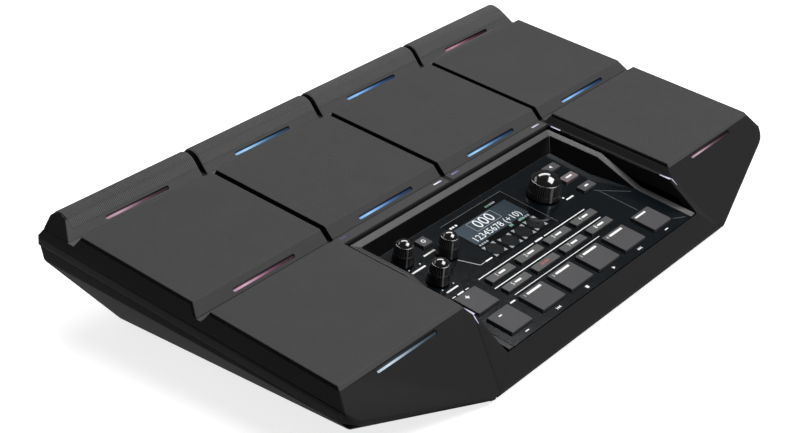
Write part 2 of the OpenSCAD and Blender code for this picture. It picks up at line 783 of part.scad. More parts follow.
module top_case() {
    color(case_black) {
        difference() {
            union() {
                pad_frame() difference() {
                    union() {
                        difference() {
                            shell_outside();
                            shell_hollow();
                        }
                        well_tub();
                    }
                    well_upper();
                    well_lower();
                    panel_space() translate([0, -panel_d / 2, 0])
                        slab(2 * (panel_half - ledge_w), panel_d - 2 * ledge_w, -clear, clear);
                    for (i = [-1:1]) {
                        translate([i * pad_pitch, 0, 0]) along_x(-pad_gap / 2, pad_gap / 2, [
                            [back_run, -groove_drop], [back_run, clear],
                            [v_mid_foot, clear], [v_mid_foot, -groove_drop]]);
                    }
                    for (x = pad_x) {
                        mid_pocket(x, -pocket_drop, far, 0);
                    }
                    for (s = SIDES) {
                        front_pocket(s, -pocket_drop, far, 0);
                    }
                    at_slope_lights() light_slot();
                    glints(light_gap);
                }
                pad_frame() difference() {
                    front_lip();
                    shell_hollow();
                    well_lower();
                }
                for (p = post_places) {
                    translate([p.x, p.y, 0])
                        rod(post_d / 2, floor_z, table_z(p.y, ceiling - deck_t / 2));
                }
            }
            for (p = post_places) {
                translate([p.x, p.y, 0])
                    rod(screw_d / 2 + run_gap, 0, foot_h + countersink + screw_len + hole_spare);
            }
        }
    }
}

// The lower shell: a pan with slanted walls
module base_form(inset, lift) {
    half = belt_half - base_inset - inset;
    drop = seam_drop + seam_gap - lift;
    nose = nose_seam + seam_gap - lift;
    flat = base_w / 2 - inset;
    level = inset > 0 ? floor_z : foot_h;
    hull() {
        for (s = SIDES) {
            base_point(table(s * half, v_rear - base_inset - inset, drop));
            base_point(table(s * half, v_shoulder + inset, drop));
            base_point(table(s * (nose_half - inset), v_nose + base_inset + inset, nose));
            base_point([s * (half - skirt_in.x), rear_y - skirt_in.y - inset, skirt_z + inset]);
            base_point([s * flat, base_y - inset, level]);
            base_point([s * flat, base_shoulder - rear_y + inset, level]);
            base_point([s * (base_nose - inset), base_front - rear_y + inset, level]);
        }
    }
}
module base_point(p) {
    translate(p) slab(eps, eps, 0, eps);
}
module pocket_box(grow) {
    w = pocket_w + 2 * grow;
    translate([-w / 2, pocket_y - grow, pocket_floor - grow])
        cube([w, far, pocket_top - pocket_floor + 2 * grow]);
}

module bottom_case() {
    boss_r = stand_d / 2 + stand_wall;
    color(case_black) difference() {
        union() {
            difference() {
                base_form(0, 0);
                difference() {
                    base_form(wall, clear);
                    pocket_box(wall);
                }
            }
            for (p = stand_places) {
                translate([p.x, p.y, 0]) rod(boss_r, foot_h + base_t / 2, foot_h + stand_len + wall);
            }
            for (p = main_posts) {
                translate([p.x, p.y, 0]) rod(main_post_d / 2, foot_h + base_t / 2, board_z - board_t);
            }
        }
        pocket_box(0);
        for (p = stand_places) {
            translate([p.x, p.y, 0]) rod(stand_d / 2, 0, foot_h + stand_len);
        }
        for (p = post_places) {
            translate([p.x, p.y, 0]) {
                rod(screw_d / 2 + hole_slack, 0, floor_z + clear);
                rod(head_d / 2 + hole_slack, 0, foot_h + countersink);
            }
        }
        for (x = jack_x) {
            at_socket(x) rod(jack_nose / 2 + socket_gap, -clear, clear);
        }
        at_socket(inlet_x) rod(inlet_nose_r + socket_gap, -clear, clear);
        at_socket(power_x) rod(power_d / 2 + socket_gap, -clear, clear);
        at_socket(usb_x) slab(usb_shell.x + 2 * socket_gap, usb_shell.y + 2 * socket_gap, -clear, clear);
    }
}
// A place on the socket wall, its axis out of the wall
module at_socket(x) {
    translate([x, socket_y, socket_z]) rotate([-90, 0, 0]) children();
}

// A pad's skin, with the slopes of its sides
module skin(points, xs) {
    intersection() {
        along_x(-far, far, points);
        along_v(-far, far, xs);
    }
}
module mid_pad(i) {
    x0 = pad_x[i] - pad_w / 2;
    x1 = pad_x[i] + pad_w / 2;
    flare0 = i == 0 ? draft * deck_drop : 0;
    flare1 = i == 3 ? draft * deck_drop : 0;
    color(rubber_black) pad_frame() {
        difference() {
            skin(
                [[0, 0], [back_v(0, pad_skin), -pad_skin],
                    [slope_v(pad_skin) + slope_skin, -pad_skin], [v_mid_foot + slope_skin, -deck_drop],
                    [v_mid_foot, -deck_drop], [v_mid_front, 0]],
                [[x0, 0], [x1, 0], [x1 + flare1, -deck_drop], [x0 - flare0, -deck_drop]]);
            at_mid_light(pad_x[i]) light_slot();
        }
        mid_pocket(pad_x[i], -pad_skin - pad_plug, -pad_skin / 2, soft_gap);
    }
}
module front_pad(s) {
    xs = [[inner_half, 0], [pad_half, 0], [side_x(pad_skin), -pad_skin], [inner_x(pad_skin), -pad_skin]];
    color(rubber_black) pad_frame() {
        skin(
            [[v_front_rear, 0], [back_v(v_front_rear, pad_skin), -pad_skin],
                [chamfer_v(pad_skin), -pad_skin], [v_edge, 0]],
            [for (p = xs) [s * p.x, p.y]]);
        front_pocket(s, -pad_skin - pad_plug, -pad_skin / 2, soft_gap);
    }
}
// Outline of a bar: foot, round top, back slope
bar_points = concat(
    [[v_bar_back, -deck_drop], [v_bar_foot, -deck_drop]],
    arc([bar_top_v, bar_rise], bar_r, bar_start, bar_end));
module bar_strip(x, grow, height) {
    translate([x, bar_mid_v, 0])
        slab(strip_len + 2 * grow, strip_w + 2 * grow, -deck_drop, height - deck_drop);
}
module bar_pad(i) {
    x0 = pad_x[i] - pad_w / 2;
    x1 = pad_x[i] + pad_w / 2;
    top = bar_rise + bar_r;
    flare0 = i == 0 ? draft : 0;
    flare1 = i == 3 ? draft : 0;
    color(rubber_black) pad_frame() difference() {
        skin(bar_points, [
            [x0 - flare0 * deck_drop, -deck_drop], [x1 + flare1 * deck_drop, -deck_drop],
            [x1 - flare1 * top, top], [x0 + flare0 * top, top]]);
        bar_strip(pad_x[i], soft_gap, strip_room + soft_gap);
        at_bar_light(pad_x[i]) light_slot();
    }
}

module pad_plates() {
    color(steel) pad_frame() {
        for (x = pad_x) {
            mid_pocket(x, -pocket_drop + piezo_t, -pad_skin - pad_plug, soft_gap);
            bar_strip(x, 0, plate_t);
        }
        for (s = SIDES) {
            front_pocket(s, -pocket_drop + piezo_t, -pad_skin - pad_plug, soft_gap);
        }
    }
}
module piezo_discs() {
    color(brass) pad_frame() {
        for (x = pad_x) {
            translate([x, -mid_depth / 2, 0]) rod(piezo_d / 2, -pocket_drop, -pocket_drop + piezo_t);
            translate([x, bar_mid_v, 0]) rod(bar_piezo_d / 2, plate_t - deck_drop, strip_room - deck_drop);
        }
        for (s = SIDES) {
            translate([s * pad_x[3], v_edge + front_depth / 2, 0])
                rod(piezo_d / 2, -pocket_drop, -pocket_drop + piezo_t);
        }
    }
}
module pad_light_bars() {
    color("lightsteelblue") pad_frame() {
        for (x = pad_x) {
            at_bar_light(x) light_bar();
        }
        at_slope_lights() light_bar();
    }
}
module corner_lights() {
    color("lavender") pad_frame() glints(0);
}

// A thin slice of the bezel's side: its place v, the drop of its outer edge and the fall of its face
module bezel_slice(s, stop) {
    drop_in = stop[1] + stop[2];
    along_v(stop[0] - eps, stop[0], [
        [s * bezel_half, -bezel_foot], [s * bezel_half, -stop[1]], [s * bezel_in, -drop_in],
        [s * (bezel_in + (drop_in - bezel_foot) * tan(bezel_lean)), -bezel_foot]]);
}
// The bezel: a raised frame on three sides of the panel, ramped down beside the keys
module well_bezel() {
    v_ramp = v_bezel - bezel_high;
    v_ramp_end = v_ramp - bezel_ramp;
    ramp_drop = panel_drop + (v_panel - v_ramp_end) * tan(panel_pitch) - bezel_low;
    stops = [
        [v_bezel, bezel_drop, bezel_fall], [v_ramp, bezel_drop, bezel_fall],
        [v_ramp_end, ramp_drop, bezel_low], [v_lip + panel_gap, lip_top - bezel_low, bezel_low]];
    drop_in = bezel_drop + bezel_fall;
    color(case_black) pad_frame() difference() {
        union() {
            for (s = SIDES, i = [0:2]) {
                hull() {
                    bezel_slice(s, stops[i]);
                    bezel_slice(s, stops[i + 1]);
                }
            }
            along_x(-bezel_half, bezel_half, [
                [v_bezel, -bezel_foot], [v_bezel, -bezel_drop],
                [v_bezel_in, -drop_in], [v_bezel_in + (drop_in - bezel_foot) * tan(bezel_lean), -bezel_foot]]);
        }
        panel_space() {
            translate([0, panel_gap - far, 0]) slab(2 * (panel_half + panel_gap), 2 * far, -far, 0);
            slab(far, far, -far, -panel_t);
        }
    }
}

module control_panel() {
    color(gloss_black) difference() {
        union() {
            on_panel([0, panel_d / 2]) slab(2 * panel_half, panel_d, -panel_t, 0);
            for (p = board_posts) {
                on_panel(p) rod(board_post_d / 2, -board_drop, -panel_t / 2);
            }
        }
        for (k = keys) {
            on_panel(k[0])
                round_slab(k[1].x + 2 * key_gap, k[1].y + 2 * key_gap, key_r + key_gap, -clear, clear);
        }
        for (p = concat(level_places, [data_place])) {
            on_panel(p) rod(bushing_d / 2 + hole_slack, -clear, clear);
        }
        on_panel([lens_x, lens_row + lens_d / 2])
            slab(lens_w + 2 * lens_gap, lens_d + 2 * lens_gap, -clear, clear);
    }
}
module display_lens() {
    color(gloss_black) on_panel([lens_x, lens_row + lens_d / 2]) slab(lens_w, lens_d, -lens_t, 0);
}
module display_module() {
    color("slategray") on_panel([lens_x, lens_row + lens_d / 2])
        slab(lens_w - 2 * module_margin, lens_d - 2 * module_margin, -board_drop, -lens_t);
}
module panel_board() {
    color(board_green) on_panel([0, panel_d / 2])
        slab(2 * board_half, board_d, -board_drop - board_t, -board_drop);
}
module key_switches() {
    color("dimgray") {
        for (k = keys) {
            on_panel(k[0]) slab(switch_w, switch_w, -board_drop, switch_h - board_drop);
        }
        translate([power_x, socket_y + power_end - power_travel - key_gap - power_switch_len / 2, 0])
            slab(power_d, power_switch_len, board_z, socket_z + power_d / 2);
    }
}

// A key: cap, lips along its front and rear edges, and stem
module key(at, size) {
    color(key_grey) on_panel(at) {
        round_slab(size.x, size.y, key_r, -flange_drop - flange_t / 2, key_h);
        slab(size.x, size.y + 2 * key_flange, -flange_drop - flange_t, -flange_drop);
        rod(stem_d / 2, -stem_drop, -flange_drop);
    }
}

// A turned knob: skirt, grip, domed top and a pointer line, with a hole for its shaft
module knob(at, skirt_d, top_d, height, grip, dome) {
    neck_r = (skirt_d + top_d) / 4;
    neck = height - dome - grip;
    top_r = top_d / 2;
    dome_r = (top_r * top_r + dome * dome) / (2 * dome);
    color(knob_black) on_panel(at) difference() {
        union() {
            rotate_extrude() polygon(concat(
                [[0, knob_gap], [skirt_d / 2, knob_gap], [neck_r, neck]],
                arc([0, height - dome_r], dome_r, acos(top_r / dome_r), 90)));
            intersection() {
                rotate_extrude() polygon([
                    [0, knob_gap], [skirt_d / 2 + pointer_proud, knob_gap],
                    [neck_r + pointer_proud, neck], [0, neck]]);
                rotate([0, 0, -pointer_turn]) translate([-pointer_w / 2, -skirt_d, 0])
                    cube([pointer_w, skirt_d, neck]);
            }
        }
        rod(shaft_r + knob_fit, 0, height - cap_t);
        rod(bushing_d / 2 + hole_slack, 0, bushing_h + data_push + key_gap);
    }
}
module shaft(at, foot, height) {
    color(steel) on_panel(at) rod(shaft_r, foot - board_drop, height - cap_t);
}
module pot_body(at, w) {
    on_panel(at) difference() {
        union() {
            slab(w, w, -board_drop, -pot_drop);
            rod(bushing_d / 2, -pot_drop - eps, bushing_h);
        }
        rod(bore_r, pot_floor - board_drop, bushing_h + clear);
    }
}
module level_pots() {
    color("dimgray") {
        for (p = level_places) {
            pot_body(p, pot_w);
        }
    }
}
module encoder_body() {
    color("dimgray") difference() {
        pot_body(data_place, encoder_w);
        on_panel(data_place)
            rod(plunger_r + run_gap, pot_floor - board_drop, plunger_top + key_gap - board_drop);
    }
}
module encoder_plunger() {
    color("ivory") on_panel(data_place) rod(plunger_r, plunger_rest - board_drop, plunger_top - board_drop);
}

// Sockets: a body on the main board with a nose through the socket wall
module socket_body(x, w, length, top) {
    translate([x, socket_y - length / 2, 0]) slab(w, length, board_z, top);
}
module audio_jacks() {
    nose = wall + jack_out;
    color(socket_black) for (x = jack_x) {
        difference() {
            union() {
                socket_body(x, jack_w, jack_len, board_z + jack_w);
                at_socket(x) rod(jack_nose / 2, -wall, nose);
            }
            at_socket(x) rod(jack_bore / 2, jack_back - jack_len, nose + clear);
        }
    }
}
module data_socket() {
    color(steel) difference() {
        union() {
            socket_body(usb_x, usb_shell.x, usb_depth + usb_back - wall, socket_z + usb_shell.y / 2);
            at_socket(usb_x) slab(usb_shell.x, usb_shell.y, -wall, wall);
        }
        at_socket(usb_x) slab(usb_size.x, usb_size.y, wall - usb_depth, clear);
    }
}
module power_inlet() {
    floor = wall - inlet_depth;
    color(socket_black) {
        difference() {
            union() {
                socket_body(inlet_x, 2 * inlet_nose_r, inlet_back - floor, socket_z + inlet_nose_r);
                at_socket(inlet_x) rod(inlet_nose_r, -wall, wall);
            }
            at_socket(inlet_x) rod(inlet_bore / 2, floor, clear);
        }
        at_socket(inlet_x) rod(inlet_pin / 2, floor - inlet_wall, 0);
    }
}
// A push button with a flange behind its wall
module power_button() {
    color(key_grey) at_socket(power_x) {
        rod(power_d / 2, power_end, power_tip);
        rod(power_d / 2 + key_flange, -key_gap - flange_t, -key_gap);
    }
}
module main_board() {
    color(board_green) translate([0, socket_y - board_depth / 2 - socket_gap, 0])
        slab(2 * main_half, board_depth, board_z - board_t, board_z);
}

module rubber_feet() {
    color(foot_black) for (p = foot_places) {
        translate([p.x, p.y, 0]) rod(foot_d / 2, 0, foot_h);
    }
}
module case_screws() {
    seat = foot_h + countersink;
    color(steel) for (p = post_places) {
        translate([p.x, p.y, 0]) {
            rod(head_d / 2, seat - head_h, seat);
            rod(screw_d / 2, seat - head_h / 2, seat + screw_len);
        }
    }
}
module stand_inserts() {
    color(brass) for (p = stand_places) {
        translate([p.x, p.y, 0]) difference() {
            rod(stand_d / 2, foot_h, foot_h + stand_len);
            rod(stand_bore / 2, 0, foot_h + stand_len + clear);
        }
    }
}

bottom_case();
top_case();
for (i = [0:3]) {
    bar_pad(i);
    mid_pad(i);
}
for (i = [0:1]) {
    front_pad(SIDES[i]);
}
pad_plates();
piezo_discs();
pad_light_bars();
corner_lights();
well_bezel();
control_panel();
display_lens();
display_module();
panel_board();
key_switches();
encoder_body();
encoder_plunger();
shaft(data_place, plunger_top + run_gap, data_h);  // encoder_shaft
knob(data_place, data_d, data_top_d, data_h, data_grip, data_dome);  // data_knob
for (i = [0:2]) {
    knob(level_places[i], level_d, level_top_d, level_h, level_grip, level_dome);
    shaft(level_places[i], pot_floor + run_gap, level_h);
    key(menu_at[i], menu_size);
}
level_pots();
for (i = [0:7]) {
    key(func_at[i], func_size);
}
for (i = [0:4]) {
    key(track_at[i], i < 4 ? track_size : square_size);
}
key(plus_at, square_size);  // plus_key
key(minus_at, square_size);  // minus_key
key(click_place, click_size);  // click_key
main_board();
audio_jacks();
data_socket();
power_inlet();
power_button();
rubber_feet();
case_screws();
stand_inserts();
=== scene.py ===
import json
from math import acos, atan2, cos, hypot, pi, radians, sin

import bmesh
import bpy
from mathutils import Matrix, Vector


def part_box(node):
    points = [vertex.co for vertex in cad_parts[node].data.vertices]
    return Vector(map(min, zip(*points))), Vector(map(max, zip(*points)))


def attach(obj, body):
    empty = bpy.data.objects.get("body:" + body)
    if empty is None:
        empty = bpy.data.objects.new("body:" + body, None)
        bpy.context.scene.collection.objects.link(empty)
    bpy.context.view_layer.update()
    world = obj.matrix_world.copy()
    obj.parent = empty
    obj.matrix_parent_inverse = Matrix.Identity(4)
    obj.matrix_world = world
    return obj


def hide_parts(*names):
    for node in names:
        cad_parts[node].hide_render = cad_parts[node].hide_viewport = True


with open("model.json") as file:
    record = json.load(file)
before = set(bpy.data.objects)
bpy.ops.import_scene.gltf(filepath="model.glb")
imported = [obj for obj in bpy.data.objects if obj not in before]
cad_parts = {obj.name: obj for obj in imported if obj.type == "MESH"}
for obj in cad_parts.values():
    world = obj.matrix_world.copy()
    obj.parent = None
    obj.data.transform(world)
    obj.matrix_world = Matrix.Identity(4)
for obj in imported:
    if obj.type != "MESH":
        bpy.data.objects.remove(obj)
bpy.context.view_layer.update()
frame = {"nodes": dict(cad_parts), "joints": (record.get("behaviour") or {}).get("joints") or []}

# Lower case: a pan of black ABS, moulded against a spark-eroded tool, so it is matt.
# Six screws hold it up against the posts of the upper case, and a pocket at its rear takes the plugs.
mm = 0.001
case_round = 0.9
weld = 0.02 * mm
flat_turn = radians(0.5)
smooth_turn = radians(32)
gloss_spread = 0.05


def linear(colour):
    """An sRGB hex colour as linear red, green, blue and alpha."""
    parts = [int(colour[i:i + 2], 16) / 255 for i in (1, 3, 5)]
    return [c / 12.92 if c <= 0.04045 else ((c + 0.055) / 1.055) ** 2.4 for c in parts] + [1.0]


def add_node(tree, kind, inputs=None, **settings):
    """Add a node with its settings, and its inputs set to values or linked to other nodes' sockets."""
    node = tree.nodes.new(kind)
    for name, value in settings.items():
        setattr(node, name, value)
    for name, value in (inputs or {}).items():
        if isinstance(value, bpy.types.NodeSocket):
            tree.links.new(value, node.inputs[name])
        else:
            node.inputs[name].default_value = value
    return node


def new_material(name):
    """A material with an empty tree, and the Object coordinates that its patterns read."""
    material = bpy.data.materials.new(name)
    material.use_nodes = True
    tree = material.node_tree
    tree.nodes.clear()
    return material, tree, add_node(tree, "ShaderNodeTexCoord").outputs["Object"]


def noise(tree, place, size, detail):
    """Cloudy noise of a size in mm."""
    made = add_node(tree, "ShaderNodeTexNoise", {"Vector": place, "Scale": 1 / (size * mm), "Detail": detail})
    return made.outputs[0]


def ranged(tree, value, low, high):
    """A value from 0 to 1, moved to another range."""
    return add_node(tree, "ShaderNodeMapRange", {"Value": value, "To Min": low, "To Max": high}).outputs[0]


def two_tones(tree, factor, first, second):
    """A blend of two sRGB colours by a factor."""
    blend = add_node(
        tree, "ShaderNodeMix", {"Factor": factor, 6: linear(first), 7: linear(second)}, data_type="RGBA")
    return blend.outputs[2]


def end_skin(tree, inputs):
    """Close a material's tree with a shader of these inputs."""
    skin = add_node(tree, "ShaderNodeBsdfPrincipled", inputs)
    add_node(tree, "ShaderNodeOutputMaterial", {"Surface": skin.outputs[0]})


def surface(name, colour, shade, roughness, grain, depth, patch=45, specular=0.5, **shader):
    """A surface of two close tones in patches with a grained relief. Patch, grain and depth are in mm."""
    material, tree, place = new_material(name)
    patches = noise(tree, place, patch, 5.0)
    grit = noise(tree, place, grain, 2.0)
    relief = add_node(tree, "ShaderNodeBump", {"Height": grit, "Distance": depth * mm})
    end_skin(tree, {
        "Base Color": two_tones(tree, patches, shade, colour), "Normal": relief.outputs[0],
        "Roughness": ranged(tree, grit, roughness - gloss_spread, roughness + gloss_spread),
        "Specular IOR Level": specular, **shader})
    return material


def copy_of(name):
    """A copy of a node's mesh, with its triangles joined and its flat faces made whole."""
    shape = bmesh.new()
    shape.from_mesh(frame["nodes"][name].data)
    bmesh.ops.remove_doubles(shape, verts=shape.verts, dist=weld)
    bmesh.ops.dissolve_limit(shape, angle_limit=flat_turn, verts=shape.verts, edges=shape.edges)
    return shape


def ease(shape, width, where=None, steps=2, sharper=18, longer=1.2):
    """Round the sharp edges of a shape by a width in mm, where a test of an edge's middle says so."""
    edges = []
    for edge in shape.edges:
        middle = (edge.verts[0].co + edge.verts[1].co) / 2
        if len(edge.link_faces) == 2 and edge.calc_length() > longer * mm:
            if edge.calc_face_angle() > radians(sharper) and (where is None or where(middle)):
                edges.append(edge)
    bmesh.ops.bevel(
        shape, geom=edges, offset=width * mm, offset_type="OFFSET", segments=steps, profile=0.5,
        affect="EDGES", clamp_overlap=False)


def keep_inside(shape, name):
    """Move the points of a shape that stand outside a node's box onto it."""
    low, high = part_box(name)
    for point in shape.verts:
        point.co = [min(max(c, a), b) for c, a, b in zip(point.co, low, high)]


def placed(name, data):
    """An object of some data, linked to the scene."""
    thing = bpy.data.objects.new(name, data)
    bpy.context.scene.collection.objects.link(thing)
    return thing


def plain_mesh(thing):
    """The mesh that an object's modifiers make."""
    graph = bpy.context.evaluated_depsgraph_get()
    return bpy.data.meshes.new_from_object(thing.evaluated_get(graph))


def piece(mesh, name, body, slot, *nodes):
    """An object of a finished mesh, smooth but for its sharp edges, that rides on a body."""
    mesh.name = name
    mesh.shade_smooth()
    mesh.set_sharp_from_angle(angle=smooth_turn)
    thing = placed(name, mesh)
    thing.modifiers.new("flat_faces", "WEIGHTED_NORMAL").keep_sharp = True
    plain = plain_mesh(thing)
    thing.modifiers.clear()
    thing.data = plain
    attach(thing, body)
    if nodes:
        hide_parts(*nodes)


def mesh_of(shape, *materials):
    """A mesh of a shape with its materials."""
    mesh = bpy.data.meshes.new("shape")
    shape.to_mesh(mesh)
    shape.free()
    for material in materials:
        mesh.materials.append(material)
    return mesh


# ABS with a spark-eroded grain: soft, slightly grey highlights. The grain is drawn coarser than real.
case_abs = surface("black_abs_spark_grain", "#272728", "#222223", 0.6, 0.9, 0.03, specular=0.05)
# The same grain, duller and painted a darker black as painted shade, for the lower half and the sides of the pads.
shaded_abs = surface("black_abs_painted_shade", "#121213", "#0f0f10", 0.65, 0.9, 0.03, specular=0.05)
lower = copy_of("bottom_case")
ease(lower, case_round)
keep_inside(lower, "bottom_case")
piece(mesh_of(lower, shaded_abs), "lower_case", "housing", "case", "bottom_case")

# Stand inserts: four brass bushes, turned and tapped, pressed into bosses of the lower case.
# A stand's bolts screw into them from below.


def paint(material, *names):
    """Give CAD nodes a material."""
    for name in names:
        mesh = frame["nodes"][name].data
        mesh.materials.clear()
        mesh.materials.append(material)


# Turned brass: a warm and slightly rough shine in two close tones.
brass = surface("turned_brass", "#c9a45c", "#b48d48", 0.3, 0.4, 0.01, 8, Metallic=1.0)
paint(brass, "stand_inserts")

# Main board and sockets: a green glass-fibre board carries six audio jacks, a data socket and an inlet.
# Their noses pass through the socket wall, and a pressed steel nut holds each jack.
nut_across = 14.0
nut_high = 2.0
nut_hole = 11.2
nut_round = 0.3


def node_tree(name, sockets):
    """An empty geometry tree with named inputs, and its input sockets."""
    tree = bpy.data.node_groups.new(name, "GeometryNodeTree")
    tree.interface.new_socket("Geometry", in_out="INPUT", socket_type="NodeSocketGeometry")
    for label, kind in sockets.items():
        tree.interface.new_socket(label, in_out="INPUT", socket_type="NodeSocket" + kind)
    tree.interface.new_socket("Geometry", in_out="OUTPUT", socket_type="NodeSocketGeometry")
    return tree, add_node(tree, "NodeGroupInput").outputs


def end_tree(tree, instances, finish):
    """Close a tree: its instances made real, and their material set."""
    real = add_node(tree, "GeometryNodeRealizeInstances", {"Geometry": instances})
    dressed = add_node(tree, "GeometryNodeSetMaterial", {"Geometry": real.outputs[0], "Material": finish})
    add_node(tree, "NodeGroupOutput", {"Geometry": dressed.outputs[0]})


def grow(tree, mesh, sizes):
    """The plain mesh that a tree makes of a mesh, with the tree's named inputs set."""
    holder = placed("holder", mesh)
    modifier = holder.modifiers.new("grow", "NODES")
    modifier.node_group = tree
    for item in tree.interface.items_tree:
        if item.in_out == "INPUT" and item.name in sizes:
            modifier[item.identifier] = sizes[item.name]
    plain = plain_mesh(holder)
    bpy.data.objects.remove(holder)
    return plain


repeat_tree, given = node_tree("repeat_on_points", {"Piece": "Object", "Finish": "Material"})
shown = add_node(repeat_tree, "GeometryNodeObjectInfo", {"Object": given["Piece"]})
copies = add_node(
    repeat_tree, "GeometryNodeInstanceOnPoints",
    {"Points": given["Geometry"], "Instance": shown.outputs["Geometry"]})
end_tree(repeat_tree, copies.outputs[0], given["Finish"])


def repeat(shape, places, material):
    """The plain mesh of a shape repeated at places."""
    points = bpy.data.meshes.new("places")
    points.from_pydata(places, [], [])
    pattern = placed("pattern", mesh_of(shape))
    mesh = grow(repeat_tree, points, {"Piece": pattern, "Finish": material})
    bpy.data.objects.remove(pattern)
    return mesh


def islands(shape):
    """The separate lumps of a shape, each as a list of vertices, from left to right."""
    left = set(shape.verts)
    found = []
    while left:
        front = [left.pop()]
        lump = list(front)
        while front:
            near = {e.other_vert(v) for v in front for e in v.link_edges} & left
            left -= near
            front = list(near)
            lump += front
        found.append(lump)
    return sorted(found, key=lambda lump: sum(v.co.x for v in lump) / len(lump))


def span(lump):
    """The lowest and highest corners of a list of vertices."""
    low = Vector([min(v.co[i] for v in lump) for i in range(3)])
    high = Vector([max(v.co[i] for v in lump) for i in range(3)])
    return low, high


def lump_spans(name):
    """The spans of a node's separate lumps, from left to right."""
    shape = copy_of(name)
    spans = [span(lump) for lump in islands(shape)]
    shape.free()
    return spans


def turned(profile, steps):
    """A body turned about Z from a closed outline of radius and height in mm."""
    shape = bmesh.new()
    loops = []
    for r, h in profile:
        if r == 0:
            loops.append([shape.verts.new((0, 0, h * mm))] * steps)
        else:
            turns = [2 * pi * k / steps for k in range(steps)]
            loops.append([shape.verts.new((r * cos(a) * mm, r * sin(a) * mm, h * mm)) for a in turns])
    for i in range(len(profile)):
        low, high = loops[i], loops[(i + 1) % len(profile)]
        for k in range(steps):
            n = (k + 1) % steps
            corners = list(dict.fromkeys([low[k], low[n], high[n], high[k]]))
            if len(corners) > 2:
                shape.faces.new(corners)
    bmesh.ops.recalc_face_normals(shape, faces=shape.faces)
    return shape


# Solder mask: glossy green lacquer over copper, which shows as darker patches.
solder_mask = surface("green_solder_mask", "#1f5a3a", "#17462d", 0.25, 3.0, 0.02, 6)
# Nylon bodies: black, with the dull shine of a plain tool.
socket_nylon = surface("black_nylon", "#141415", "#1b1b1c", 0.38, 0.8, 0.02)
# Zinc-plated steel: a cool grey metal with cloudy patches from the bath.
zinc_steel = surface("zinc_plated_steel", "#b9bbc0", "#a3a5aa", 0.32, 1.2, 0.01, 7, Metallic=1.0)
paint(solder_mask, "main_board")
paint(socket_nylon, "audio_jacks", "power_inlet")
paint(zinc_steel, "data_socket")

jack_row = lump_spans("audio_jacks")
nut = turned([
    (nut_hole / 2, 0), (nut_across / 2, 0), (nut_across / 2, nut_high), (nut_hole / 2, nut_high)], steps=48)
nut_wall = (nut_hole + nut_across) / 4 * mm
for point in nut.verts:
    reach = point.co.xy.length
    if reach > nut_wall:
        side = atan2(point.co.y, point.co.x) % (pi / 3) - pi / 6
        point.co.xy *= nut_across * mm / 2 / cos(side) / reach
ease(nut, nut_round, lambda p: p.xy.length > nut_wall, longer=0.3)
bmesh.ops.rotate(nut, verts=nut.verts, matrix=Matrix.Rotation(-pi / 2, 3, "X"))
nut_places = [((low.x + high.x) / 2, high.y - nut_high * mm, (low.z + high.z) / 2) for low, high in jack_row]
piece(repeat(nut, nut_places, zinc_steel), "jack_nuts", "housing", "steel")

# Power button: a small cap of grey ABS in the socket wall, moulded to slide on the switch of the main board.
# Its outer face carries the usual power sign, printed in white.
button_round = 0.5
ring_r = 2.1
ring_turns = (130, 410)
ring_stem = [(0, 0.5), (0, 2.7)]
ring_line = 0.5
ring_low = -0.1
ring_high = 0.03


def ribbon(points, width):
    """The outline of a line of some width along points in mm."""
    sides = []
    for i, (x, y) in enumerate(points):
        before = points[max(i - 1, 0)]
        after = points[min(i + 1, len(points) - 1)]
        dx, dy = after[0] - before[0], after[1] - before[1]
        length = hypot(dx, dy)
        sides.append((x, y, -dy / length * width / 2, dx / length * width / 2))
    return [(x + u, y + v) for x, y, u, v in sides] + [(x - u, y - v) for x, y, u, v in reversed(sides)]


def arc(x, y, r, start, end, steps=24):
    """Points along an arc, with its angles in degrees."""
    turns = [radians(start + (end - start) * i / steps) for i in range(steps + 1)]
    return [(x + r * cos(a), y + r * sin(a)) for a in turns]


def raise_outline(shape, outline, low, high, place, index=0):
    """Add a flat plate or print to a shape: an outline in mm, between two heights of a frame."""
    area = sum(a[0] * b[1] - b[0] * a[1] for a, b in zip(outline, outline[1:] + outline[:1]))
    points = outline if area > 0 else outline[::-1]
    rings = [[shape.verts.new(place @ (Vector((x, y, h)) * mm)) for x, y in points] for h in (low, high)]
    walls = [[rings[0][i - 1], rings[0][i], rings[1][i], rings[1][i - 1]] for i in range(len(points))]
    for corners in [rings[0][::-1], rings[1]] + walls:
        shape.faces.new(corners).material_index = index


# Screen ink: a white print, a little uneven in thickness.
white_ink = surface("white_screen_ink", "#ececec", "#e0e0e0", 0.5, 0.5, 0.005, 4)
# Key plastic: dark grey ABS with a fine satin grain.
key_abs = surface("grey_abs_satin", "#414143", "#3b3b3d", 0.5, 0.6, 0.015, 18, 0.25)
button = copy_of("power_button")
ease(button, button_round, steps=3, sharper=40, longer=0.1)
low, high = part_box("power_button")
middle = Vector(((low[0] + high[0]) / 2, high[1], (low[2] + high[2]) / 2))
behind = Matrix.Translation(middle) @ Matrix(((-1, 0, 0), (0, 0, 1), (0, 1, 0))).to_4x4()
for stroke in (arc(0, 0, ring_r, *ring_turns), ring_stem):
    raise_outline(button, ribbon(stroke, ring_line), ring_low, ring_high, behind, 1)
piece(mesh_of(button, key_abs, white_ink), "power_button_cap", "power_button", "key_plastic", "power_button")

# Upper case: the black ABS shell that carries the pads, moulded with the well, its ledge and the lip.
# Its outer edges are softened, and slots for the lights are cut in its slopes.
light_room = 1.5
light_boxes = lump_spans("pad_light_bars")


def clear_of_lights(point):
    """Whether a point lies away from the slots of the light bars."""
    room = light_room * mm
    return not any(all(a[i] - room < point[i] < b[i] + room for i in range(3)) for a, b in light_boxes)


upper = copy_of("top_case")
ease(upper, case_round, clear_of_lights)
keep_inside(upper, "top_case")
piece(mesh_of(upper, case_abs), "upper_case", "housing", "case", "top_case")

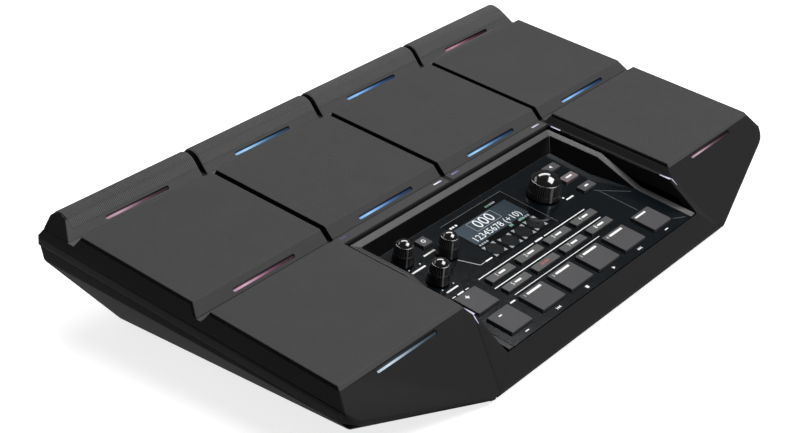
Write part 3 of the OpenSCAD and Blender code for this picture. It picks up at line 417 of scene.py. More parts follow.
# Pad plates: zinc-plated steel plates under the pads, glued to their rubber, with a brass piezo disc each.
# They spread a stroke to the disc.
paint(zinc_steel, "pad_plates")
paint(brass, "piezo_discs")

# Flat pads: six silicone rubber mats with a fine moulded weave, each keyed into the case by its plug.
# The skin of the middle pads runs down over the slope that holds their light, and ends in a thin apron.
pad_round = 0.8
pad_tilt = radians(5.9)
weave_pitch = 1.7
weave_deep = 0.08
weave_share = 0.9
cloud_size = 28
cloud_share = (0.32, 0.64)
flat_top = 0.98
shaded_side_turn = 0.6
apron_ends = {"mid_pad_1": -101.8, "mid_pad_2": -105.8, "mid_pad_3": -105.8, "mid_pad_4": -101.8}
apron_start = -98.8
apron_low = -6.9
apron_high = -6.52


def moulded_weave(name, colour, shade):
    """Rubber with a moulded weave, drawn a little coarser than real, in two close tones."""
    material, tree, place = new_material(name)
    flat = add_node(tree, "ShaderNodeMapping", {"Vector": place, "Rotation": (-pad_tilt, 0, 0)})
    # A wave texture of scale 1 repeats every pi / 10.
    scale = pi / 10 / (weave_pitch * mm)
    warp, weft = [
        add_node(
            tree, "ShaderNodeTexWave", {"Vector": flat.outputs[0], "Scale": scale},
            wave_type="BANDS", bands_direction=axis).outputs["Fac"]
        for axis in "XY"]
    cross = add_node(tree, "ShaderNodeMath", {0: warp, 1: weft}, operation="MULTIPLY").outputs[0]
    cloud = ranged(tree, noise(tree, place, cloud_size, 6.0), *cloud_share)
    lift = add_node(tree, "ShaderNodeMath", {0: cross, 1: weave_share, 2: cloud}, operation="MULTIPLY_ADD")
    relief = add_node(tree, "ShaderNodeBump", {"Height": cross, "Distance": weave_deep * mm})
    end_skin(tree, {
        "Base Color": two_tones(tree, lift.outputs[0], shade, colour), "Normal": relief.outputs[0],
        "Roughness": ranged(tree, cross, 0.62, 0.72), "IOR": 1.43, "Specular IOR Level": 0.15})
    return material


def frame_at(node, tilt):
    """The frame of a tilted piece: at its highest edge, turned about X by its tilt."""
    top = max((v.co for v in frame["nodes"][node].data.vertices), key=lambda p: p.z)
    return Matrix.Translation((0, top.y, top.z)) @ Matrix.Rotation(tilt, 4, "X")


def on_pads(point):
    """A point in the pads' frame, in mm."""
    return pad_place.inverted() @ point / mm


def pad_normal(face):
    """A face's normal in the pads' frame."""
    return pad_place.to_3x3().inverted() @ face.normal


def strip(name, near, off):
    """The outline of a strip as wide as a node, between two distances in the pads' frame, in mm."""
    left, right = [corner[0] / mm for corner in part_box(name)]
    return [(left, near), (right, near), (right, off), (left, off)]


pad_place = frame_at("mid_pad_2", pad_tilt)
# Silicone rubber: dull and even, a shade greyer than the case.
pad_rubber = moulded_weave("silicone_rubber_weave", "#434343", "#2c2c2c")
# The same rubber from a polished part of the mould: plain slopes and edges.
smooth_rubber = surface("silicone_rubber_smooth", "#444444", "#3e3e3e", 0.67, 0.8, 0.02, 30, 0.15, IOR=1.43)
for name in [*apron_ends, "front_pad_left", "front_pad_right"]:
    mat = copy_of(name)
    ease(mat, pad_round, clear_of_lights, steps=3)
    mat.normal_update()
    for face in mat.faces:
        # Faces turned to the side take the darker ABS, as painted shade.
        face.material_index = 2 if abs(face.normal.x) > shaded_side_turn else int(pad_normal(face).z < flat_top)
    if name in apron_ends:
        raise_outline(mat, strip(name, apron_ends[name], apron_start), apron_low, apron_high, pad_place, 1)
    piece(mesh_of(mat, pad_rubber, smooth_rubber, shaded_abs), name + "_rubber", "housing", "pad_rubber", name)

# Bars: four silicone rubber bars along the rear, moulded hollow over steel strips.
# Their round tops carry close ribs, which stop above the plain foot with the light. A thin web joins the foot
# to the deck, and the bars' ends are painted in the case's black ABS as painted shade.
rib_pitch = 1.35
rib_r = 0.43
rib_end = 0.9
rib_step = 0.45
rib_foot = -1.5
rib_back = 34
rib_fade = 24
rib_turns = 18
crest_room = 0.02
crest_band = 0.5
bar_middle = 22.0
bar_centre = -2.6
bar_r = 8.0
bar_round = 0.8
bar_start = 136
bar_foot = (7.0, -6.6)
foot_room = 0.3
on_round = 0.05
near_round = 0.2
across_turn = 0.3
web = (2.6, 7.4)
web_low = -6.8
web_high = -6.3


def around(turn, reach):
    """A place round the axis of a bar's top, at an angle in degrees."""
    return bar_middle + reach * cos(radians(turn)), bar_centre + reach * sin(radians(turn))


def from_axis(local):
    """The way to a place from the axis of a bar's top, in mm."""
    return Vector((local.y - bar_middle, local.z - bar_centre))


# Plain silicone rubber, a little smoother than the mats.
bar_rubber = surface("silicone_rubber_plain", "#4a4a4a", "#424242", 0.6, 0.8, 0.02, 30, 0.2)
# The ribs are painted paler as a painted highlight and the rubber between them darker as painted shade, so that
# they read from afar.
rib_highlight_rubber = surface("silicone_rubber_painted_highlight", "#6e6e6e", "#626262", 0.6, 0.8, 0.02, 30, 0.2)
rib_shade_rubber = surface("silicone_rubber_painted_shade", "#262626", "#202020", 0.7, 0.8, 0.02, 30, 0.1)
crest_r = bar_r - rib_r - crest_room
start = around(bar_start, bar_r)
round_foot = start[1] + foot_room
share = (rib_foot - bar_foot[1]) / (start[1] - bar_foot[1])
rib_line = [(bar_foot[0] + share * (start[0] - bar_foot[0]), rib_foot)]
for k in range(rib_turns + 1):
    turn = bar_start + (rib_back - bar_start) * k / rib_turns
    rib_line.append(around(turn, bar_r + (crest_r - bar_r) * min(1, (bar_start - turn) / rib_fade)))
rib_points = [pad_place @ (Vector((0, v, h)) * mm) for v, h in rib_line]

rib_tree, given = node_tree(
    "bar_ribs", {"Start": "Float", "Pitch": "Float", "Count": "Int", "Radius": "Float", "Finish": "Material"})
line = add_node(rib_tree, "GeometryNodeMeshToCurve", {"Mesh": given["Geometry"]})
section = add_node(
    rib_tree, "GeometryNodeCurvePrimitiveCircle", {"Resolution": 8, "Radius": given["Radius"]}, mode="RADIUS")
rib = add_node(
    rib_tree, "GeometryNodeCurveToMesh",
    {"Curve": line.outputs[0], "Profile Curve": section.outputs[0], "Fill Caps": True})
first = add_node(rib_tree, "ShaderNodeCombineXYZ", {"X": given["Start"]})
step = add_node(rib_tree, "ShaderNodeCombineXYZ", {"X": given["Pitch"]})
row = add_node(
    rib_tree, "GeometryNodeMeshLine",
    {"Count": given["Count"], "Start Location": first.outputs[0], "Offset": step.outputs[0]},
    mode="OFFSET", count_mode="TOTAL")
ribs = add_node(rib_tree, "GeometryNodeInstanceOnPoints", {"Points": row.outputs[0], "Instance": rib.outputs[0]})
end_tree(rib_tree, ribs.outputs[0], given["Finish"])

for i in range(1, 5):
    name = f"bar_pad_{i}"
    corners = [v.co for v in frame["nodes"][name].data.vertices]
    crest = max(p.z for p in corners) - crest_band * mm
    ends = [p.x for p in corners if p.z > crest]
    count = int((max(ends) - min(ends) - 2 * rib_end * mm) / (rib_pitch * mm))
    begin = (min(ends) + max(ends) - count * rib_pitch * mm) / 2
    path = bpy.data.meshes.new("rib_path")
    path.from_pydata(rib_points, [(k, k + 1) for k in range(len(rib_points) - 1)], [])
    # The ribs take the paler rubber, as a painted highlight.
    mesh = grow(rib_tree, path, {
        "Start": begin, "Pitch": rib_pitch * mm, "Count": count + 1, "Radius": rib_r * mm, "Finish": rib_highlight_rubber})
    piece(mesh, f"bar_ribs_{i}", "housing", "pad_rubber")
    bar = copy_of(name)
    for point in bar.verts:
        local = on_pads(point.co)
        arm = from_axis(local)
        if abs(arm.length - bar_r) < on_round and local.z > round_foot:
            shift = arm.normalized() * -rib_step
            point.co = pad_place @ (Vector((local.x, local.y + shift.x, local.z + shift.y)) * mm)
    ease(bar, bar_round, clear_of_lights, sharper=30)
    raise_outline(bar, strip(name, *web), web_low, web_high, pad_place)
    bar.normal_update()
    for face in bar.faces:
        local = on_pads(face.calc_center_median())
        lowered = abs(bar_r - from_axis(local).length - rib_step) < near_round and local.z > round_foot
        between_ribs = lowered and abs(face.normal.x) < across_turn
        # The bars' ends, turned to the side, take the case's ABS, and the rubber between the ribs takes the darker
        # rubber, both as painted shade.
        face.material_index = 1 if abs(face.normal.x) > shaded_side_turn else 2 * between_ribs
    piece(mesh_of(bar, bar_rubber, case_abs, rib_shade_rubber), name + "_rubber", "housing", "pad_rubber", name)

# Lights: bars of milky acrylic pressed into the slots, lit by colour diodes below, and small ones round the well.
# Each bar is brightest near its left end and fades to its right, and the upper part of its face is painted dark as
# painted shade.
light_cuts = [0.06, 0.2, 0.38, 0.58, 0.8]
light_levels = [0.7, 0.88, 1.0, 0.72, 0.34, 0.15, 0.08]
glint_cuts = [0.5]
glint_levels = [1.0, 1.0, 0.7]
glint_lift = 0.12
glint_foot = -7
column_wide = 113.3
front_row = -120
front_glints = -190
middle_glints = 20
haze_size = 3
shade_band_cuts = [0.52, 0.62]
shade_band_level = 0.06
up_slope = Vector((0, 0.66, 0.75))
bar_glows = ["#c49fb0", "#a6d6ff", "#97c6fa", "#b88a9c"]
mid_glows = ["#d2a6be", "#9cccff", "#a2d2ff", "#9ccaff"]
front_glows = ["#cfe0ee", "#c8aab8"]
sliver = [(111.2, -201, -6.55), (111.5, -205.8, -6.55), (112.1, -207.3, -6.9),
          (112.4, -208.8, -7.9), (112.6, -211.5, -9.75)]
sliver_r = [0.15, 0.38, 0.42, 0.38, 0.15]


def light_up(shape, cuts, levels, bands, colour_of):
    """Cut each lump of a shape along and across and write its colours to the glow attribute, darkened above the
    middle of the given bands as painted shade.
    """
    glow = shape.verts.layers.float_color.new("glow")
    for lump in islands(shape):
        low, high = span(lump)
        along = 0 if high.x - low.x > high.y - low.y else 1
        colour = Vector(linear(colour_of((low + high) / 2))[:3])
        heights = [v.co.dot(up_slope) for v in lump]
        foot, rise = min(heights), max(heights) - min(heights)
        inside = set(lump)
        planes = [(low.lerp(high, share), Vector((1, 0, 0) if along == 0 else (0, 1, 0))) for share in cuts]
        planes += [(up_slope * (foot + rise * share) / up_slope.length_squared, up_slope) for share in bands]
        for spot, way in planes:
            faces = [f for f in shape.faces if f.verts[0] in inside]
            parts = faces + list({e for f in faces for e in f.edges}) + list({v for f in faces for v in f.verts})
            made = bmesh.ops.bisect_plane(shape, geom=parts, plane_co=spot, plane_no=way)
            inside |= {g for g in made["geom_cut"] if isinstance(g, bmesh.types.BMVert)}
        stops = [0] + cuts + [1]
        for v in inside:
            t = (v.co[along] - low[along]) / (high[along] - low[along])
            nearest = min(range(len(stops)), key=lambda k: abs(stops[k] - t))
            # Above the middle of the bands the glow is darkened, as painted shade.
            shade = shade_band_level if bands and (v.co.dot(up_slope) - foot) / rise > sum(bands) / 2 else 1
            deeper = Vector([part ** (2 - levels[nearest]) for part in colour])
            v[glow] = (*(deeper * levels[nearest] * shade), 1.0)


def bar_colour(middle):
    """The colour of a light bar from its place: rear row, middle row or front."""
    local = on_pads(middle)
    column = min(3, max(0, int(local.x // column_wide) + 2))
    if local.y > 0:
        return bar_glows[column]
    return mid_glows[column] if local.y > front_row else front_glows[column // 2]


def corner_colour(middle):
    """The colour of a corner light from its place: brightest left of the middle, dimmest at the rear left."""
    local = on_pads(middle)
    if abs(local.x) < middle_glints:
        return "#efe6fb" if local.x < 0 else "#8a84b4"
    return "#d9d6ee" if local.y < front_glints or local.x > 0 else "#57527a"


# Milky acrylic: it glows in the colours of its mesh's own attribute, with a slight haze in its gloss.
# Its own colour is painted near black, as painted shade in its slot.
lit_bar, tree, place = new_material("milky_acrylic_lit")
haze = ranged(tree, noise(tree, place, haze_size, 2.0), 0.25, 0.4)
glow = add_node(tree, "ShaderNodeAttribute", attribute_name="glow")
end_skin(tree, {
    "Base Color": linear("#050507"), "Roughness": haze, "IOR": 1.49, "Specular IOR Level": 0.08,
    "Emission Color": glow.outputs["Color"], "Emission Strength": 1.0})
bars = copy_of("pad_light_bars")
light_up(bars, light_cuts, light_levels, shade_band_cuts, bar_colour)
piece(mesh_of(bars, lit_bar), "pad_lights", "housing", "light", "pad_light_bars")
glints = copy_of("corner_lights")
for v in glints.verts:
    if on_pads(v.co).z > glint_foot:
        v.co += pad_place.to_3x3() @ Vector((0, 0, glint_lift * mm))
for side in (-1, 1):
    rings = []
    for (x, v, h), r in zip(sliver, sliver_r):
        turns = [radians(45 * k) for k in range(8)]
        ring = [Vector((side * (x + r * cos(a)), v + r * sin(a) / 2, h + r * sin(a))) for a in turns]
        rings.append([glints.verts.new(pad_place @ (p * mm)) for p in ring])
    made = [glints.faces.new(rings[0]), glints.faces.new(rings[-1])]
    for one, two in zip(rings, rings[1:]):
        made += [glints.faces.new((one[k], one[k - 1], two[k - 1], two[k])) for k in range(8)]
    bmesh.ops.recalc_face_normals(glints, faces=made)
light_up(glints, glint_cuts, glint_levels, [], corner_colour)
piece(mesh_of(glints, lit_bar), "corner_lights_lit", "housing", "light", "corner_lights")

# Well bezel: a black ABS frame round three sides of the panel, dropped into the well and clipped there.
# Its upper face is satin, its inner bevel a little glossier and painted near black as painted shade, and it ramps
# down beside the keys.
bezel_round = 0.5
bezel_top = 0.8
bezel_side = 0.99
# Satin ABS: a finer grain than the case, with a broad grey sheen.
bezel_satin = surface("black_abs_satin", "#2c2c2e", "#282829", 0.45, 0.6, 0.01)
# The inner bevel's ABS: a little glossier, with a trace of flow marks, and painted near black as painted shade.
bezel_bevel_shade = surface("black_abs_polished", "#050506", "#070708", 0.3, 4.0, 0.004, 30, 0.1)
bezel = copy_of("well_bezel")
ease(bezel, bezel_round)
bezel.normal_update()
for face in bezel.faces:
    local = pad_normal(face)
    # Faces turned up or to the ends take the satin ABS, and the rest take the bevel's near-black ABS, painted as
    # shade.
    face.material_index = 0 if local.z > bezel_top or abs(local.x) > bezel_side else 1
piece(mesh_of(bezel, bezel_satin, bezel_bevel_shade), "bezel_frame", "housing", "bezel", "well_bezel")

# Panel board: the green board behind the panel, with key switches, potentiometers and the encoder.
# It is screwed to posts on the back of the panel. The plunger is white acetal.
# Acetal: milky and waxy.
acetal = surface("white_acetal", "#d8d4c4", "#cdc9b8", 0.4, 1.5, 0.01)
paint(solder_mask, "panel_board")
paint(socket_nylon, "key_switches", "encoder_body", "level_pots")
paint(acetal, "encoder_plunger")
paint(zinc_steel, "encoder_shaft", "level_shaft_1", "level_shaft_2", "level_shaft_3")

# Control panel: a black acrylic plate with windows for the keys, screen-printed in white.
# It lies on the ledge of the well, and its polished face shows the room.
panel_tilt = radians(8.0)
print_low = -0.05
print_high = 0.04
thin_line = 0.35
edge_line = 0.25
sign_row = 113.2
skip_long = 1.8
skip_tip = 1.7
skip_half = 1.1
font_share = 1.4
digit_weld = 1e-7
# The printed bars by place, length and width, the dots by place and radius, and the thin lines by their points.
printed_bars = [
    (-35, 62.9, 59, 0.7), (30, 62.9, 47, 0.7), (-5.25, 75.4, 118.5, 0.7), (-13.25, 87.4, 94.5, 0.5),
    (-19, sign_row, 2.4, 2.4), (-83.8, sign_row, 3.6, 0.8), (76.1, sign_row, 3.6, 0.8), (-84, 31.6, 13, 1.3),
    (-84.5, 58, 11, 1.3), (-65, 24.8, 11, 1.3), (58, 48.4, 8, 1.3), (-90.5, 63.8, 3.2, 0.6), (-84, 63.8, 6, 1.2),
    (-77.5, 63.8, 3.2, 0.6), (0.5, 62.9, 8, 1.3), (-42, 54.4, 7, 1.1), (-67, 90.6, 5, 1.2)]
printed_dots = [(-89.4, 28.2, 0.5), (-78.6, 28.2, 0.5), (-89.9, 54.6, 0.5), (-79.1, 54.6, 0.5), (54.2, 45.6, 0.8)]
guide_lines = [
    [(-37, 12.1), (27.8, 12.1), (27.8, 59)], [(78.5, 54), (85, 60.5), (97.5, 72.2)],
    [(80.7, 56.4), (80.7, 70), (80.7, 88)], [(90.3, 109.2), (95, 112), (99, 114)]]
panel_place = frame_at("control_panel", panel_tilt)


def mark(shape, outline, low=print_low, high=print_high, index=0):
    """Add a print to the panel: an outline of x and of distance from the panel's rear edge, in mm."""
    raise_outline(shape, [(x, -d) for x, d in outline], low, high, panel_place, index)


def dash(x, d, length, width):
    """The outline of a short bar centred at a place."""
    return [(x - length / 2, d - width / 2), (x + length / 2, d - width / 2),
            (x + length / 2, d + width / 2), (x - length / 2, d + width / 2)]


def dot(x, d, r, steps=12):
    """The outline of a round dot."""
    return arc(x, d, r, 0, 360, steps)[:-1]


def add_mesh(shape, mesh, index):
    """Add a mesh to a shape with a material's index, and give its new faces back."""
    before = set(shape.faces)
    shape.from_mesh(mesh)
    added = [face for face in shape.faces if face not in before]
    for face in added:
        face.material_index = index
    return added


def digits(shape, words, x, d, size, low, high, index):
    """Add plain numbers of a height in mm to the panel, centred at a place."""
    curve = bpy.data.curves.new("digits", "FONT")
    curve.body = words
    curve.size = size * font_share
    curve.align_x = "CENTER"
    curve.align_y = "CENTER"
    curve.extrude = (high - low) / 2
    curve.resolution_u = 3
    holder = placed("digits", curve)
    mesh = plain_mesh(holder)
    bpy.data.objects.remove(holder)
    spot = Matrix.Translation(Vector((x, -d, (low + high) / 2)) * mm)
    mesh.transform(panel_place @ spot @ Matrix.Scale(mm, 4))
    added = add_mesh(shape, mesh, index)
    bmesh.ops.remove_doubles(shape, verts=list({v for f in added for v in f.verts}), dist=digit_weld)


# Cast acrylic: deep blue-black, polished, with faint dust in its gloss.
panel_acrylic = surface("black_cast_acrylic", "#0a0e11", "#0c1115", 0.13, 2.0, 0.002, 40, 0.3, IOR=1.49)
paint(panel_acrylic, "control_panel")
prints = bmesh.new()
for bar in printed_bars:
    mark(prints, dash(*bar))
for spot in printed_dots:
    mark(prints, dot(*spot))
for x, way in ((-50.2, -1), (42.5, 1)):
    for back in (-skip_long, 0):
        foot, tip = x + way * back, x + way * (back + skip_tip)
        mark(prints, [(foot, sign_row - skip_half), (tip, sign_row), (foot, sign_row + skip_half)])
    mark(prints, dash(x + way * 2.1, sign_row, 0.5, 2 * skip_half))
mark(prints, [(10.5, sign_row - 1.3), (12.9, sign_row), (10.5, sign_row + 1.3)])
mark(prints, ribbon([(-57.5, 41.4), (-50.9, 54.4), (-46.5, 54.4)], thin_line))
piece(mesh_of(prints, white_ink), "panel_prints", "housing", "panel")
# Grey screen ink: the thin guide lines.
grey_ink = surface("grey_screen_ink", "#55585c", "#4a4d51", 0.5, 0.5, 0.005, 4)
guides = bmesh.new()
for points in guide_lines:
    mark(guides, ribbon(points, thin_line))
mark(guides, ribbon([(-99, 6.5), (99, 6.5)], edge_line))
piece(mesh_of(guides, grey_ink), "panel_guides", "housing", "panel")

# Display: a polished acrylic window over a lit colour screen, glued into the panel.
# The screen shows plain numbers, rows of small marks and four round gauges.
screen_low = -0.04
screen_high = 0.02
sign_high = 0.05
screen_x = (-35, 22)
screen_plate = (-6.5, 29.8, 57, 19.6)
gauges = [(-29.5, 49.8), (-14.3, 51), (0.6, 50.9), (14.6, 50.4)]
gauge_r = 5.9
tip_turn = 17
tip_r = (6.4, 8.6)
# The frame of the large number, and rows of small marks, by place, length and width. A row ends with its material.
frame_bars = [(-9, 21.2, 26, 0.35), (-9, 31, 26, 0.35), (-22, 26.1, 0.35, 9.8), (4, 26.1, 0.35, 9.8)]
mark_rows = [
    ((-33, -30.6, -27.6), 17.4, 1.8, 1.6, 2), ((5, 7), 17.2, 1.5, 1.5, 3), ((9.4, 11.6, 13.6), 17.2, 1.5, 1.5, 4),
    ((-33.5, -31.1, -28.7, -26.3, 9.5, 14, 16.4, 18.8), 41.4, 1.7, 1.6, 4), ((0.5, 11.5), 41.2, 3.4, 2.2, 3)]


def lit_screen(name, colour, shade, strength):
    """A lit screen seen through its polished window, a little brighter towards one side."""
    material, tree, place = new_material(name)
    slide = add_node(tree, "ShaderNodeSeparateXYZ", {"Vector": place})
    fade = add_node(
        tree, "ShaderNodeMapRange",
        {"Value": slide.outputs["X"], "From Min": screen_x[0] * mm, "From Max": screen_x[1] * mm})
    end_skin(tree, {
        "Base Color": linear("#0a0c0e"), "Roughness": 0.15, "IOR": 1.49,
        "Emission Color": two_tones(tree, fade.outputs[0], colour, shade), "Emission Strength": strength})
    return material


# The screen's colours: a slate ground, darker bands, white signs and small green marks.
screen_ground = lit_screen("lit_screen_slate", "#475560", "#2d3941", 0.76)
screen_dark = lit_screen("lit_screen_dark", "#08090a", "#0b0c0d", 0.3)
screen_white = lit_screen("lit_screen_white", "#f2f6f8", "#e8eef2", 1.0)
screen_green = lit_screen("lit_screen_green", "#7fae9a", "#6d9a88", 0.9)
screen_grey = lit_screen("lit_screen_grey", "#a4abb0", "#9aa2a8", 1.0)
# The window: black acrylic, polished.
window_acrylic = surface("black_window_acrylic", "#060708", "#08090b", 0.08, 2.0, 0.001, 30, IOR=1.49)
paint(window_acrylic, "display_lens")
paint(socket_nylon, "display_module")
screen = bmesh.new()
mark(screen, dash(*screen_plate), screen_low, screen_high)
for bar in frame_bars:
    mark(screen, dash(*bar), screen_high, sign_high, 4)
digits(screen, "000", -9, 26.1, 8.8, screen_high, sign_high, 2)
digits(screen, "12345678 (+10)", -7.5, 35.8, 5.5, screen_high, sign_high, 2)
for row, d, length, width, index in mark_rows:
    for x in row:
        mark(screen, dash(x, d, length, width), screen_low, sign_high, index)
for x, d in gauges:
    mark(screen, dot(x, d, gauge_r, 32), screen_low, screen_high, 1)
    for turn in (45, 135, 225, 315):
        tips = [(turn - tip_turn, tip_r[0]), (turn + tip_turn, tip_r[0]), (turn, tip_r[1])]
        mark(screen, [arc(x, d, r, a, a, 1)[0] for a, r in tips], screen_low, sign_high, 4)
mesh = mesh_of(screen, screen_ground, screen_dark, screen_white, screen_green, screen_grey)
piece(mesh, "screen", "housing", "display")

# Keys: caps of grey ABS on stems, kept by lips below the panel, with signs printed in white.
# The track keys carry a bar near their rear edge. Each cap moves by itself.
key_round = 0.45
key_top = 1.8
key_foot = 0.4
sign_low = key_top - 0.2
sign_top = key_top + 0.04
# Function keys are a darker grey, and one menu key glows red.
dark_key = surface("dark_grey_abs_satin", "#373738", "#313132", 0.42, 0.6, 0.015, 18)
red_key = surface("grey_abs_red_glow", "#615457", "#594c4f", 0.42, 0.6, 0.015, 18)
red_ink = surface("red_screen_ink", "#a04246", "#8c383c", 0.5, 0.5, 0.005, 4)


def key_cap(name, material, signs):
    """Make a key's cap with rounded upper edges and its printed signs."""
    cap = copy_of(name)
    lift = panel_place.inverted()
    ease(cap, key_round, lambda p: (lift @ p).z > key_foot * mm, steps=3, sharper=12, longer=0.05)
    low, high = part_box(name)
    middle = lift @ ((Vector(low) + Vector(high)) / 2) / mm
    signs(cap, middle.x, -middle.y)
    piece(mesh_of(cap, material, white_ink, red_ink), name + "_cap", name, "key_plastic", name)


def sign(shape, outline, index=1):
    """Print a sign on a key's top."""
    mark(shape, outline, sign_low, sign_top, index)


def number_sign(number):
    """A sign of a plain number and a bar."""
    def add(shape, x, d):
        digits(shape, number, x - 4, d, 3.0, sign_low, sign_top, 1)
        sign(shape, dash(x + 1.4, d, 6.4, 1.5))
    return add


def record_sign(shape, x, d):
    """A red dot and a bar."""
    sign(shape, dot(x - 3.2, d, 1.3, 20), 2)
    sign(shape, dash(x + 1.4, d, 5, 1.4), 2)


def track_sign(number):
    """A bar near the rear edge with a small number at its left."""
    def add(shape, x, d):
        sign(shape, dash(x + 0.9, d - 6.6, 14.5, 1.7))
        digits(shape, number, x - 8.8, d - 6.4, 2.2, sign_low, sign_top, 1)
    return add


def cross(a, b):
    """The outline of a cross of two bars, from half their width and half their length."""
    return [(a, -b), (a, -a), (b, -a), (b, a), (a, a), (a, b),
            (-a, b), (-a, a), (-b, a), (-b, -a), (-a, -a), (-a, -b)]


def plus_sign(shape, x, d):
    """A cross of two bars."""
    sign(shape, [(x - 2.5 + u, d - 5 + v) for u, v in cross(0.45, 1.6)])


def minus_sign(shape, x, d):
    """A short bar."""
    sign(shape, dash(x - 2.5, d - 5, 3, 1.0))


def short_bar(shape, x, d):
    """A bar near the middle of the rear edge."""
    sign(shape, dash(x - 2.5, d - 6.6, 12, 1.4))


def ring_sign(shape, x, d):
    """A ring."""
    sign(shape, ribbon(arc(x, d, 1.3, 0, 359), 0.6))


def back_sign(shape, x, d):
    """A triangle that points back."""
    sign(shape, [(x - 1.6, d), (x + 1, d - 1.3), (x + 1, d + 1.3)])


def bar_sign(length):
    """A sign that is a bar in the middle."""
    return lambda shape, x, d: sign(shape, dash(x, d, length, 1.4))


for i in range(1, 9):
    key_cap(f"function_key_{i}", dark_key, record_sign if i == 6 else number_sign(str(i)))
for i in range(1, 5):
    key_cap(f"track_key_{i}", key_abs, track_sign(str(i)))
key_cap("track_key_5", key_abs, short_bar)
key_cap("plus_key", key_abs, plus_sign)
key_cap("minus_key", key_abs, minus_sign)
key_cap("click_key", key_abs, ring_sign)
key_cap("menu_key_1", key_abs, back_sign)
key_cap("menu_key_2", red_key, bar_sign(6.5))
key_cap("menu_key_3", key_abs, bar_sign(4))

# Knobs: three level knobs and the larger data knob, moulded in black ABS and pushed on their shafts.
# A knurl of fine ridges runs round the grip, the domed top is polished, and a silver line runs down the side.
knob_gap = 0.9
knob_steps = 64
dome_steps = 10
rim_round = 0.45
rim_turn = 85
rim_steps = 5
shaft_hole = 3.03
bushing_hole = (4.4, 4.9)
cap_thick = 3.0
ridge_high = 0.45
ridge_root = 0.2
ridge_end = 1.1
ridge_share = 0.5
skirt_round = 0.3
grip_step = 0.2
grip_end = 1.3
band_high = 1.0
line_proud = 0.2
line_deep = 0.5
line_end = 0.8
ring_wide = 0.5
line_turn = radians(-32)
level_sizes = {"skirt": 14.6, "top": 11.6, "height": 17.0, "grip": 6.5, "dome": 3.0, "ridges": 28, "line": 1.0}
data_sizes = {"skirt": 23.2, "top": 21.0, "height": 18.0, "grip": 8.5, "dome": 5.4, "ridges": 44, "line": 1.8}
# Matt ABS on the grip with its ridges painted paler as a painted highlight, polished ABS on the dome, and silver
# foil on the line.
knob_matt = surface("black_abs_matt", "#121213", "#0e0e0f", 0.4, 0.6, 0.01)
knob_ridge_highlight = surface("black_abs_painted_highlight_ridges", "#48484a", "#3c3c3e", 0.45, 0.6, 0.01)
knob_gloss = surface(
    "black_abs_polished_dome", "#0c0c0d", "#101011", 0.12, 3.0, 0.002, 12, **{"IOR": 1.7, "Coat Weight": 1.0})
silver_foil = surface("hot_stamped_silver_foil", "#b4b5b8", "#9a9b9e", 0.34, 0.5, 0.006, 3, Metallic=0.85)

knurl_tree, given = node_tree("knurl", {"Count": "Int", "Radius": "Float", "Finish": "Material"})
rim = add_node(knurl_tree, "GeometryNodeMeshCircle", {"Vertices": given["Count"], "Radius": given["Radius"]})
spot = add_node(knurl_tree, "GeometryNodeInputPosition")
aim = add_node(
    knurl_tree, "FunctionNodeAlignRotationToVector", {"Vector": spot.outputs[0]}, axis="X", pivot_axis="Z")
ridges = add_node(
    knurl_tree, "GeometryNodeInstanceOnPoints",
    {"Points": rim.outputs[0], "Instance": given["Geometry"], "Rotation": aim.outputs[0]})
end_tree(knurl_tree, ridges.outputs[0], given["Finish"])
side_on = Matrix(((0, 0, -1), (-1, 0, 0), (0, 1, 0))).to_4x4()


def ridge_mesh(low, high, lean, width):
    """One ridge of a knurl, upright at the origin between two heights, with its top leaning in."""
    root = -ridge_high - ridge_root
    section = [(root, -width / 2), (0, -width / 4), (0, width / 4), (root, width / 2)]
    points = [Vector((x - shift, y, h)) * mm for h, shift in ((low, 0), (high, lean)) for x, y in section]
    mesh = bpy.data.meshes.new("ridge")
    sides = [(k, (k + 1) % 4, (k + 1) % 4 + 4, k + 4) for k in range(4)]
    mesh.from_pydata(points, [], [(3, 2, 1, 0), (4, 5, 6, 7)] + sides)
    return mesh


